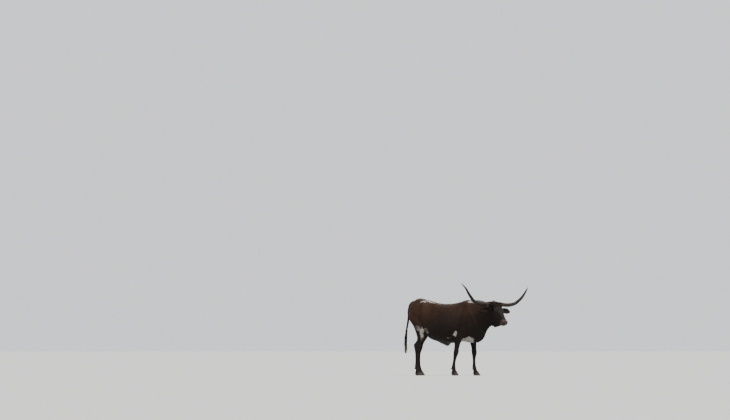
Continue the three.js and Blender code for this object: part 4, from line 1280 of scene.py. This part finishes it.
def strands(name, slot, lines, flat, width, flatness, roots, owner, skin_normals, thin, tint, soft):
    """Many closed, tapered, three-sided strands as one mesh.

    lines holds each strand's centre line, whose last place is its point, and flat the direction across
    each of its places. thin is how far the ends are bleached, and soft how much the strands are shaded
    as the skin under them.
    """
    count, places = lines.shape[:2]
    rings, sides = places - 1, len(SECTION)
    per = rings * sides + 1
    direction = unit(np.gradient(lines, axis=1))
    raised = unit(np.cross(direction, flat))
    facing_out = np.sign((raised * skin_normals[:, None]).sum(-1, keepdims=True))
    raised *= np.where(facing_out == 0, 1, facing_out)
    share = np.linspace(0, 1, places)[:rings]
    outward = (
        np.cos(SECTION)[:, None] * flat[:, :rings, None] * width[:, None, None, None]
        + np.sin(SECTION)[:, None] * raised[:, :rings, None] * (width * flatness)[:, None, None, None]
    ) / 2
    ring_points = lines[:, :rings, None] + outward * (1 - 0.86 * share**1.7)[:, None, None]
    points = np.concatenate([ring_points.reshape(count, -1, 3), lines[:, -1:]], 1).reshape(-1, 3)
    last = per - 1 - sides
    tip = [(last + side, last + (side + 1) % sides, per - 1) for side in range(sides)]
    step = (np.arange(count) * per)[:, None, None]
    quads = (band(rings, sides) + step).reshape(-1, 4)
    mesh = quick_mesh(name, points, quads, (np.array([*tip, (0, 2, 1)]) + step).reshape(-1, 3))
    made = piece(name, mesh)
    along = np.concatenate([np.repeat(share, sides), [1.0]])
    bare = np.column_stack([np.zeros(count), np.zeros(count) + thin, np.zeros(count)])
    rooted, bare, tint, under, unwrapped = (
        np.repeat(values, per, 0) for values in (roots, bare, tint, skin_normals, chart(roots, owner))
    )
    mark(mesh, rooted, bare, tint, np.tile(along, count))
    spread = np.concatenate([np.tile(np.linspace(-0.5, 0.5, sides), rings), [0.0]])
    offset = np.column_stack([np.tile(spread, count), np.tile(along - 0.5, count)]) * BAKE_PATCH
    corner = numbers(mesh.loops, "vertex_index", 1, np.int32)
    layer = mesh.uv_layers.new(name="OFBake")
    layer.uv.foreach_set("vector", (unwrapped + offset)[corner].astype(np.float32).ravel())
    own = unit(np.concatenate([outward.reshape(count, -1, 3), direction[:, -1:]], 1).reshape(-1, 3))
    shading = unit(soft * under + (1 - soft) * own)
    mesh.normals_split_custom_set_from_vertices(shading.tolist())
    dressed(made, HAIR, slot)
    return made


# The way the hair lies on the neck, the legs and the tail
LIE_OF_NECK = np.array([-0.85, 0.25, -0.62])
LIE_OF_LEGS = np.array([-0.22, 0, -1])
LIE_OF_TAIL = np.array([-0.15, 0, -1])
WHORL = 0.11  # how far down the face the whorl on the brow lies


def lie_of_coat(skin):
    """The way the hair lies at each vertex of the skin, along the surface."""
    normals, belongs = skin["normals"], skin["belongs"]
    plan, face = to_plan(skin["points"]), to_head(skin["points"])
    (x, y, z), (ahead, sideways, above) = plan.T, face.T
    down = smooth_step(x, -0.52, -0.74) + 0.8 * smooth_step(z, 0.95, 0.75)
    outward = -0.25 * np.sign(y) * smooth_step(z, 0.75, 0.62)
    trunk = np.stack([-np.ones(len(plan)), outward, -0.35 - 1.6 * np.clip(down, 0, 1)], 1)
    # the hair of the face runs down it and turns back over the cheeks, away from a whorl on the brow
    below = smooth_step(above, -0.06, -0.14)
    away = np.stack([
        np.where(ahead < WHORL, -0.6, 1.0) * (1 - below) - 0.75 * below,
        1.1 * sideways / 0.1 * (1 - below) * np.exp(-((ahead - WHORL) / 0.1) ** 2),
        -0.15 - 0.55 * below,
    ], 1) @ HEAD_AXES.T
    ways = {"torso": trunk, "neck": LIE_OF_NECK, "head": away}
    way = sum(unit(lie) * skin[kind][:, None] for kind, lie in ways.items())
    way += unit(LIE_OF_LEGS) * skin["leg"][:, None] + unit(LIE_OF_TAIL) * skin["tail"][:, None]
    for name, side in SIDES.items():
        way += ear_axes(side)[0] * belongs[:, REGIONS.index(f"ear_{name}"), None]
    way = skin["relax"](way, 0.7, 20) + 0.22 * noises(plan, 0.07, (31, 32, 33))
    return unit(way - (way * normals).sum(1, keepdims=True) * normals)


def coat_lengths(skin):
    """Length of the hair, how far it lifts, and how many tufts stand on a square metre."""
    neck, head = skin["neck"], skin["head"]
    downward = -skin["normals"][:, 2]
    (x, _, z), (ahead, _, above) = to_plan(skin["points"]).T, to_head(skin["points"]).T
    trunk = skin["torso"] + neck
    under = smooth_step(downward, 0.35, 0.9) * trunk
    dewlap = smooth_step(x, 0.6, 0.72) * smooth_step(z, 1.15, 0.85)
    latch = smooth_step(x, 0.64, 0.8) * smooth_step(downward, -0.1, 0.5) * neck
    length = blend(2, skin) * (1 + 0.1 * under + 0.05 * dewlap * trunk)
    length *= 1 - 0.45 * smooth_step(ahead, 0.2, 0.44) * head
    length *= 1 + 0.4 * smooth_step(above, -0.16, -0.24) * head
    length *= 1 - 0.5 * latch
    length *= 1 - 0.35 * smooth_step(z, 0.6, 0.3) * skin["leg"]
    lift = 0.058 - 0.014 * under - 0.008 * dewlap - 0.014 * head
    furred = 1 - smooth_step(bare_amounts(skin["points"]).max(1), 0.25, 0.6)
    return length, lift, blend(3, skin) * furred


def read(values, corners, weights):
    picked = values[corners]
    return (picked * (weights if values.ndim == 1 else weights[..., None])).sum(1)


# Layers of the short coat: length, width against length, lift, density, places along a tuft
COAT_LAYERS = {
    "coat": (1.0, 0.14, 1.0, 1.0, (0.0, 0.52, 1.0)),
    "undercoat": (0.68, 0.112, 0.8, 2.2, (0.0, 1.0)),
}


def planted(skin, corners, evenness):
    """Random places in the skin's triangles, as weights of their corners, places and normals."""
    weights = rng.dirichlet([evenness] * 3, len(corners))
    return weights, read(skin["points"], corners, weights), unit(read(skin["normals"], corners, weights))


def make_coat(skin):
    """Short tufts that lie along the body, in two layers and in pieces by region."""
    lie = lie_of_coat(skin)
    length, lift, density = coat_lengths(skin)
    for layer, (shorter, slim, flatter, denser, share) in COAT_LAYERS.items():
        wanted = density * denser * 1.0
        chance = skin["area"] * wanted[skin["corners"]].mean(1)
        corners = skin["corners"][rng.random(len(chance)) < chance]
        weights, roots, normals = planted(skin, corners, 1.4)
        way = unit(read(lie, corners, weights))
        owner = skin["owner"][corners[:, 0]]
        count = len(roots)
        long = read(length, corners, weights) * shorter * rng.uniform(0.7, 1.25, count)
        wide = (slim * long + 0.0005) * rng.uniform(0.75, 1.3, count)
        raised = read(lift, corners, weights) * flatter * rng.uniform(0.5, 1.7, count)
        turn = rng.normal(0, 0.16, count)[:, None]
        way = way * np.cos(turn) + np.cross(normals, way) * np.sin(turn)
        across = np.cross(normals, way)
        bend = rng.normal(0, 0.1, count)[:, None]
        lines = np.stack([
            roots + way * (long * s)[:, None] + across * bend * (long * s * s)[:, None]
            + normals * (long * raised * math.sin(math.pi * s * 0.62) - 0.001)[:, None]
            for s in share
        ], 1)
        flat = np.repeat(across[:, None], len(share), 1)
        plan = to_plan(roots)
        tint = rng.uniform(0.78, 1.25, count) * (1 + 0.12 * noise(plan, 0.045, 41))
        trunk, ahead, left = owner == 0, plan[:, 0] >= 0, plan[:, 1] >= 0
        groups = {
            "left_front": trunk & left & ahead, "left_rear": trunk & left & ~ahead,
            "right_front": trunk & ~left & ahead, "right_rear": trunk & ~left & ~ahead,
            "neck": owner == 1, "head": np.isin(owner, (2, 3, 4)), "tail": owner == 9,
            "forelegs": np.isin(owner, (5, 6)), "hindlegs": np.isin(owner, (7, 8)),
        }
        for name, mine in groups.items():
            strands(
                f"{layer}_{name}", "hide", lines[mine], flat[mine], wide[mine], 0.3, roots[mine],
                owner[mine], normals[mine], 0.0, tint[mine], soft=0.75,
            )


def curled_lines(roots, leave, bend, length, places, curl, turns, phase):
    """Centre lines that leave along one way, bend towards another, and curl round their own line."""
    share = np.linspace(0, 1, places)
    s = share[:, None]
    start, end = unit(leave)[:, None], unit(bend)[:, None]
    line = roots[:, None] + length[:, None, None] * (start * (s - s**2 / 2) + end * s**2 / 2)
    heading = unit(start * (1 - s) + end * s)
    first = unit(np.cross(heading, np.array([0.31, 0.87, 0.38])))
    second = np.cross(heading, first)
    angle = (2 * np.pi * turns[:, None] * share + phase[:, None])[..., None]
    radius = (curl[:, None] * np.sin(np.pi * np.minimum(share * 1.6, 1) / 2))[..., None]
    line = line + radius * (np.cos(angle) * first + np.sin(angle) * second)
    return line - (line[:, :1] - roots[:, None]), first


def add_locks(name, region, roots, normals, leave, bend, length, width, slot="hide", curl=0.0, turns=0.0,
              places=6, thin=0.0, soft=0.35, clumps=0, gather=0.8):
    """Long hair as one piece. Hair of a clump meets at its point."""
    count = len(roots)
    curl = curl * rng.uniform(0.6, 1.3, count)
    turns = turns * rng.uniform(0.7, 1.3, count)
    phase = rng.uniform(0, 2 * np.pi, count)
    tint = rng.uniform(0.75, 1.35, count)
    if clumps:
        guides = rng.choice(count, clumps, replace=False)
        guide = guides[norm(roots[:, None] - roots[guides]).argmin(1)]
        stray = rng.normal(0, 0.07, (2, count, 3))
        leave, bend = unit(leave[guide]) + stray[0], unit(bend[guide]) + stray[1]
        curl, turns, phase = curl[guide], turns[guide], phase[guide] + rng.normal(0, 0.35, count)
        length = (length[guide] + length) / 2
        tint = tint * 0.4 + tint[guide] * 0.6
    lines, flat = curled_lines(roots, leave, bend, length, places, curl, turns, phase)
    if clumps:
        pull = gather * np.linspace(0, 1, places)[:, None] ** 0.8
        lines += (lines[guide] - lines) * pull * rng.uniform(0.75, 1.0, (count, 1, 1))
    # each hair turns its flat side to the skin, so that it is lit like the coat round it
    across = np.cross(normals[:, None], unit(np.gradient(lines, axis=1)))
    flat = unit(across + 0.15 * flat)
    width = width * rng.uniform(0.7, 1.3, count)
    owner = np.full(count, REGIONS.index(region))
    return strands(name, slot, lines, flat, width, 0.6, roots, owner, normals, thin, tint, soft)


def stray_locks(name, region, roots, normals, leave, bend, strays, lengths, width, scale=1.0, **look):
    """Long hair that leaves and bends with a little chance in it, between two lengths."""
    leave = leave + rng.normal(0, strays[0], roots.shape)
    bend = bend + rng.normal(0, strays[1], roots.shape)
    length = rng.uniform(*lengths, len(roots)) * scale
    add_locks(name, region, roots, normals, leave, bend, length, width, **look)


def pick_roots(skin, allowed, count):
    """So many roots, a little under the skin, where it is allowed to bear them."""
    chance = skin["area"] * allowed[skin["corners"]].mean(1)
    chosen = rng.choice(len(chance), count, replace=True, p=chance / chance.sum())
    _, roots, normals = planted(skin, skin["corners"][chosen], 1.2)
    return roots - normals * 0.003, normals


# Hair on the poll: roots, shortest and longest, width, lift, curl, places along a hair, clumps
POLL_LAYERS = {
    "hair_poll": (1500, (0.04, 0.074), 0.0021, 0.12, 0.0035, 7, 170),
    "hair_poll_short": (1900, (0.018, 0.034), 0.0017, 0.3, 0.001, 4, 0),
}


def poll_hair(skin):
    """The tuft between the horns, which lies over the brow and round the roots of the horns."""
    x, y, z = to_head(skin["points"]).T
    top = smooth_step(z, -0.05, -0.015) * smooth_step(x, 0.125, 0.05) * smooth_step(x, -0.085, -0.06)
    top *= (skin["head"] > 0.5) * (np.abs(y) < 0.1)
    for name, (count, lengths, width, lift, curl, places, clumps) in POLL_LAYERS.items():
        roots, normals = pick_roots(skin, top, count)
        x, y, _ = to_head(roots).T
        along = np.stack([np.where(x < -0.055, -0.8, 1.0), y * 7, np.zeros(count)], 1) @ HEAD_AXES.T
        leave, bend = normals * lift + along * 0.8, along - normals * 0.25
        stray_locks(
            name, "head", roots, normals, leave, bend, (0.16, 0.16), lengths, width,
            1 - 0.35 * smooth_step(np.abs(y), 0.05, 0.09), curl=curl, turns=1.1, places=places,
            thin=0.02, soft=0.6, clumps=clumps, gather=0.5,
        )
    # short hair that runs out over the root of each horn
    for name, side in SIDES.items():
        count = 420
        place, direction = along_curve(horn_curve(side), rng.uniform(0.05, 0.088, count))
        turn = rng.uniform(0, 2 * np.pi, count)[:, None]
        first = unit(np.cross(direction, head_direction(1, 0, 0)))
        ring = np.cos(turn) * first + np.sin(turn) * np.cross(direction, first)
        stray_locks(
            f"hair_horn_{name}", "head", place + ring * 0.037, ring, direction * 0.9 + ring * 0.22,
            direction - ring * 0.05, (0.08, 0.1), (0.016, 0.03), 0.0019,
            places=4, soft=0.5, clumps=60, gather=0.35,
        )


def ear_hair():
    """Long hair inside the hollow of each ear, and a fringe along its edges."""
    for name, side in SIDES.items():
        outward, upward, front = ear_axes(side)
        count = 900
        share = rng.uniform(0.1, 0.86, count)
        across = rng.uniform(-0.95, 0.95, count)
        roots = ear_point(side, share, across, 0.5)
        leave = outward * 0.9 + front * 0.22 - upward * across[:, None] * 0.45
        bend = outward - front * 0.05 - upward * 0.25
        normals = np.tile(front, (count, 1))
        stray_locks(
            f"hair_ear_{name}", f"ear_{name}", roots, normals, leave, bend, (0.1, 0.1), (0.022, 0.042),
            0.0013, 1.15 - 0.5 * share, curl=0.0008, turns=0.5, places=5, thin=0.08,
        )
        count = 700
        share = rng.uniform(0.12, 0.99, count)
        edge = np.where(rng.random(count) < 0.6, -1.0, 1.0)
        roots = ear_point(side, share, edge * 0.96, rng.uniform(-0.5, 0.5, count))
        ring = upward * edge[:, None]
        leave, bend = outward + ring * 0.4, outward + ring * 0.12
        stray_locks(
            f"hair_ear_edge_{name}", f"ear_{name}", roots, ring, leave, bend, (0.12, 0.12),
            (0.01, 0.02), 0.0013, np.where(edge < 0, 1.1, 0.8), places=4, thin=0.05,
        )


def switch_hair():
    """The long hair of the tail, and the longer hair that covers its end."""
    count = 720
    share = 0.5 + 0.48 * rng.random(count) ** 0.75
    places, directions = along_curve(curve_through(from_plan(TAIL_LINE)), share)
    turn = rng.uniform(0, 2 * np.pi, count)
    ring = np.stack([np.cos(turn), np.sin(turn), np.zeros(count)], 1)
    radius = read_rows(TAIL_CORE_RADII, np.clip(share, 0.55, 1)) * 0.6
    roots = places + ring * radius
    leave = directions + ring * rng.uniform(0.04, 0.16, (count, 1))
    bend = np.stack([-0.01 - 0.1 * ring[:, 0], -0.1 * ring[:, 1], -np.ones(count)], 1)
    bend += rng.normal(0, 0.03, (count, 3))
    room = to_plan(roots)[:, 2] - SWITCH_END
    wanted = rng.uniform(0.1, 0.3, count) * (0.55 + 0.9 * smooth_step(share, 0.5, 0.75))
    length = np.minimum(wanted, room * rng.uniform(0.82, 1.0, count))
    made = add_locks(
        "hair_switch", "tail", roots, ring, leave, bend, length, 0.0034, "switch",
        curl=0.0032, turns=1.6, places=11, thin=0.9 * smooth_step(share, 0.74, 0.92),
        soft=0.25, clumps=100, gather=0.5,
    )
    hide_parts("tail_switch")


def belly_hair(skin):
    """Longer hair at the mouth of the sheath and along the breast."""
    plan, downward = to_plan(skin["points"]), -skin["normals"][:, 2]
    sheath = np.exp(-((plan - [0.0, 0, 0.575]) ** 2 / [0.06**2, 0.04**2, 0.02**2]).sum(1))
    breast = smooth_step(downward, 0.2, 0.7) * smooth_step(np.abs(plan[:, 1]), 0.1, 0.03)
    breast *= smooth_step(plan[:, 0], 0.3, 0.45) * (plan[:, 2] < 0.95)
    # where it grows, number, length, the way it hangs
    spots = {
        "sheath": (sheath, 150, 0.038, (-0.3, 0, -1)),
        "breast": (breast, 700, 0.022, (-1.0, 0, -0.45)),
    }
    for name, (allowed, count, long, towards) in spots.items():
        roots, out = pick_roots(skin, allowed, count)
        bend = np.array(towards) + rng.normal(0, 0.12, (count, 3))
        length = long * rng.uniform(0.6, 1.15, count)
        add_locks(
            f"hair_{name}", "torso", roots, out, out * 0.5 + bend, bend, length, 0.0019,
            curl=0.0012, turns=0.7, places=5, thin=0.05, soft=0.5, clumps=count // 9, gather=0.5,
        )


def foot_hair():
    """Short hair that hangs over the upper edge of every claw."""
    count = 260  # on each claw
    grown = {leg: [] for leg in FEET}
    for leg, hand in CLAWS:
        low, high = claw_rings(leg, hand, [(1.0, 0.001, 0.0005), (1.0, 0.008, -0.001)], sides=count)
        roots = low + (high - low) * rng.uniform(0, 1, (count, 1))
        grown[leg].append((roots, unit((low - low.mean(0)) * [1, 1, 0])))
    for leg, found in grown.items():
        roots, ring = (np.concatenate(parts) for parts in zip(*found))
        stray_locks(
            f"hair_foot_{leg}", leg, roots, ring, ring * 0.32 + [0, 0, -1.0], ring * 0.1 + [0, 0, -1.0],
            (0.1, 0.12), (0.007, 0.015), 0.0012, places=3, thin=0.05, soft=0.6,
        )


# Eyes, lids, horns and hooves


def eye_axes(name):
    """The middle of an eye, and its axes: along the slit of the lids, up, and out of the eye."""
    out = head_direction(0.16, SIDES[name] * 0.97, 0.16)
    along = head_direction(0.97, 0, -0.19)
    along = unit(along - (along @ out) * out)
    up = np.cross(out, along) * SIDES[name]
    return middle(f"eye_{name}"), along, up * np.sign(up @ head_direction(0, 0, 1)), out


def make_eyes():
    polar = np.linspace(0.0, math.pi, 40)[1:-1]
    turn = round_angles(56)
    across, out = np.sin(polar)[:, None], np.cos(polar)[:, None] * np.ones(len(turn))
    local = np.stack([across * np.cos(turn), across * np.sin(turn), out], -1)
    # the clear front of the eye bulges a little
    radius = EYE_RADIUS * (1 + 0.055 * np.exp(-((polar / 0.55) ** 2)))
    for name in SIDES:
        centre, *axes = eye_axes(name)
        grid = centre + (local * radius[:, None, None]) @ np.stack(axes)
        mesh = new_mesh(f"eyeball_{name}", *closed_grid(grid))
        set_attribute(mesh, "root", np.concatenate([local.reshape(-1, 3), [[0, 0, 1], [0, 0, -1]]]))
        dressed(piece(f"eyeball_{name}", mesh), EYE, "eye", f"eye_{name}")


# The lids on the ball: half angles of the opening and of the whole lid, and the lid's section as
# (share outwards, height)
LID_OPENING = {"along": 1.1, "up": 0.62, "down": 0.46}
LID_REACH = 1.62
LID_SECTION = [
    (0, 0.0002), (0.04, 0.0022), (0.14, 0.0036), (0.3, 0.004), (0.44, 0.0028), (0.56, 0.004),
    (0.76, 0.0032), (1, -0.004), (0.9, -0.009), (0.3, -0.003),
]


def lid_edge(turn, along, up):
    """The opening of the lids round an eye: its half angle on the ball, and the way it lies."""
    sine, cosine = np.sin(turn), np.cos(turn)
    height = np.where(sine > 0, LID_OPENING["up"], LID_OPENING["down"])
    edge = np.stack([
        LID_OPENING["along"] * np.sign(cosine) * np.abs(cosine) ** 0.85,
        height * np.sign(sine) * np.abs(sine) ** 1.35,
    ], 1)
    far = norm(edge)[:, None]
    edge = edge / far
    return far, edge[:, :1] * along + edge[:, 1:] * up


def make_lids():
    """A rim of lid round each eye, folded once, which sinks into the skin round it."""
    turn = round_angles(72)
    heavy = np.where(np.sin(turn) > 0, 1 + 0.5 * np.sin(turn), 1.0)[:, None]
    for name in SIDES:
        centre, along, up, out = eye_axes(name)
        far, flat = lid_edge(turn, along, up)
        rows = []
        for share, rise in LID_SECTION:
            reach = far + (LID_REACH - far) * share
            radius = EYE_RADIUS * 1.03 + (rise * heavy if rise > 0 else rise)
            rows.append(centre + radius * (np.sin(reach) * flat + np.cos(reach) * out))
        points = np.concatenate(rows)
        faces = band(len(rows), len(turn), closed=True)
        mesh = face_outward(new_mesh(f"eyelid_{name}", points, faces))
        rim = np.repeat([share < 0.05 for share, _ in LID_SECTION], len(turn)).astype(float)
        mark(mesh, points, np.column_stack([np.zeros(len(points)), 0.15 * (1 - rim), 0.9 * rim]))
        dressed(piece(f"eyelid_{name}", mesh), HIDE, "hide")


def eyelashes():
    for name in SIDES:
        centre, along, up, out = eye_axes(name)
        far, flat = lid_edge(rng.uniform(0.25, math.pi - 0.25, 46), along, up)
        normal = np.sin(far) * flat + np.cos(far) * out
        roots = centre + normal * EYE_RADIUS * 1.08
        bend = out * 0.5 + up * 0.3 + along * 0.1 - head_direction(0, 0, 1) * 0.4
        stray_locks(
            f"eyelash_{name}", "head", roots, normal, out * 0.9 + flat * 0.25, bend, (0.06, 0.1),
            (0.009, 0.015), 0.0009, places=5, soft=0.2,
        )


def horn_shape(share, angle):
    """Growth rings near the base, and shallow flutes that fade towards the tip."""
    rings = np.sin(2 * np.pi * (share * 46 + 0.35 * np.sin(angle + 3) + 0.8 * np.sin(share * 41)))
    fade = smooth_step(share, 0.42, 0.1)
    flutes = 0.01 * np.sin(7 * angle + 5 * share) + 0.006 * np.sin(17 * angle - 9 * share)
    return 1 + 0.013 * rings * fade + flutes * smooth_step(share, 0.95, 0.5)


def make_horns():
    rings, sides = 170, 44
    angle = round_angles(sides)
    share = np.linspace(HORN_ROOT, 1, rings)
    radius = read_rows(HORN_RADII, share)[:, 0]
    for name, side in SIDES.items():
        curve = horn_curve(side)
        grid = rope(curve, HORN_RADII, rings, sides, HORN_ROOT, head_direction(1, 0, 0), horn_shape)
        mesh = new_mesh(f"horn_{name}_shell", *closed_grid(grid))
        # the material reads its grain from a straight horn
        length = norm(np.diff(curve[0], axis=0)).sum()
        straight = np.stack([
            np.outer(radius, np.cos(angle)), np.outer(radius, np.sin(angle)),
            np.outer(share * length, np.ones(sides)),
        ], -1).reshape(-1, 3)
        straight = np.concatenate([straight, [[0, 0, HORN_ROOT * length], [0, 0, length]]])
        set_attribute(mesh, "root", straight + [0, 0, 5 * side])
        set_attribute(mesh, "along", np.concatenate([np.repeat(share, sides), [HORN_ROOT, 1.0]]))
        dressed(piece(f"horn_{name}_shell", mesh), HORN, "horn", f"horn_{name}")


def toe_name(leg, hand):
    return f"{leg}_{'inner' if hand * side_of(leg) < 0 else 'outer'}"


def make_hooves():
    """Two claws on every foot, with fine rings round their walls."""
    level = np.arange(len(CLAW_LEVELS))[:, None, None]
    groove = 1 + 0.006 * np.sin(2.1 * level) * (level > 3) * (level < len(CLAW_LEVELS) - 4)
    for leg, hand in CLAWS:
        name = toe_name(leg, hand)
        rings = claw_rings(leg, hand, CLAW_LEVELS, sides=72)
        centre = rings.mean(1, keepdims=True)
        rings[..., :2] = (centre + (rings - centre) * groove)[..., :2]
        mesh = face_outward(new_mesh(f"claw_{name}", *closed_grid(rings)))
        dressed(piece(f"claw_{name}", mesh), HOOF, "hoof", f"hoof_{name}")


def make_dewclaws():
    """Two small blunt nubs of horn behind each fetlock."""
    share = np.linspace(0, 1, 14)[:, None]
    angle = round_angles(20)[None, :]
    radius = np.sqrt(np.maximum(1 - (share * 0.985) ** 3.0, 0.01)) * (1 + 0.03 * np.sin(share * 40))
    for leg, hand in CLAWS:
        grid = in_foot(leg, np.stack([
            -0.028 - 0.011 * share - 0.0095 * radius * np.sin(angle),
            hand * (0.0175 + 0.004 * share) + 0.0105 * radius * np.cos(angle),
            FEET[leg][2] + 0.004 - 0.027 * share - 0.004 * radius * np.sin(angle),
        ], -1))
        name = f"dewclaw_{toe_name(leg, hand)}"
        dressed(piece(name, face_outward(new_mesh(name, *closed_grid(grid)))), HOOF, "hoof")


# Floor, light and camera


# The light: the way each lamp shines, its breadth in degrees, strength and colour
LAMPS = {
    "key": ((-0.85, 0.62, -1.0), 22, 4.1, (1.0, 0.98, 0.95)),
    "back": ((0.4, -1.0, -0.75), 35, 1.6, (1.0, 0.95, 0.88)),
}
SKY = (0.95, 0.97, 1.0)
SKY_STRENGTH = 1.1


def studio():
    shader = Shader("floor")
    patches = shader.place().noise(1.4, 3.0).ramp(0.3, 0.7, 0.0, 0.25)
    base = patches.mix(COLOURS["floor"], COLOURS["floor patch"])
    edit = bmesh.new()
    bmesh.ops.create_circle(edit, cap_ends=True, segments=128, radius=2500)
    mesh = bpy.data.meshes.new("floor")
    edit.to_mesh(mesh)
    edit.free()
    mesh.materials.append(shader.finish(Base_Color=base, Roughness=0.85))
    floor = placed("floor", mesh)
    floor.location.z = -0.0005

    world = bpy.data.worlds.new("studio")
    world.use_nodes = True
    sky = world.node_tree.nodes["Background"].inputs
    sky["Color"].default_value = (*SKY, 1)
    sky["Strength"].default_value = SKY_STRENGTH
    bpy.context.scene.world = world

    for name, (way, breadth, strength, tone) in LAMPS.items():
        data = bpy.data.lights.new(name, "SUN")
        data.angle = math.radians(breadth)
        data.energy = strength
        data.color = tone
        placed(name, data).rotation_euler = Vector(way).to_track_quat("-Z", "Y").to_euler()


def add_camera():
    """The photograph's view: a long lens far off, low down, with the animal right of the middle."""
    focal = LENS / SENSOR * IMAGE[0]  # in pixels
    tilt = math.atan((HORIZON_ROW - IMAGE[1] / 2) / focal)
    swing = math.atan((ORIGIN_COLUMN - IMAGE[0] / 2) * math.cos(tilt) / focal)
    distance = focal * METRES_PER_PIXEL / (math.cos(tilt) * math.cos(swing))
    back = Vector((math.sin(CAMERA_AZIMUTH), -math.cos(CAMERA_AZIMUTH), 0))
    data = bpy.data.cameras.new("camera")
    data.lens = LENS
    data.sensor_width = SENSOR
    data.clip_start = 0.1
    data.clip_end = 6000
    camera = placed("camera", data)
    camera.location = Vector(PLAN_ORIGIN) + back * distance
    camera.location.z = (GROUND_ROW - HORIZON_ROW) * METRES_PER_PIXEL
    camera.rotation_euler = (math.pi / 2 + tilt, 0, CAMERA_AZIMUTH + swing)
    bpy.context.scene.camera = camera


HAIR = coat_material()
HIDE = skin_material()
EYE = eye_material()
HORN = horn_material()
HOOF = hoof_material()


def dress():
    skin = make_skin(flesh_sources())
    hollow = np.zeros(len(skin["points"]))
    for name, side in SIDES.items():
        inward = skin["normals"] @ ear_axes(side)[2]
        hollow += skin["belongs"][:, REGIONS.index(f"ear_{name}")] * smooth_step(inward, 0.2, 0.7)
    mark(skin["mesh"], skin["points"], bare_amounts(skin["points"], hollow))
    solids = [node for nodes in FLESH_NODES.values() for node in nodes]
    dressed(piece("skin", skin["mesh"]), HIDE, "hide", "head", "ear_left", "ear_right", *solids)
    make_coat(skin)
    poll_hair(skin)
    ear_hair()
    belly_hair(skin)
    foot_hair()
    switch_hair()
    make_eyes()
    make_lids()
    eyelashes()
    make_horns()
    make_hooves()
    make_dewclaws()


add_camera()
studio()
dress()
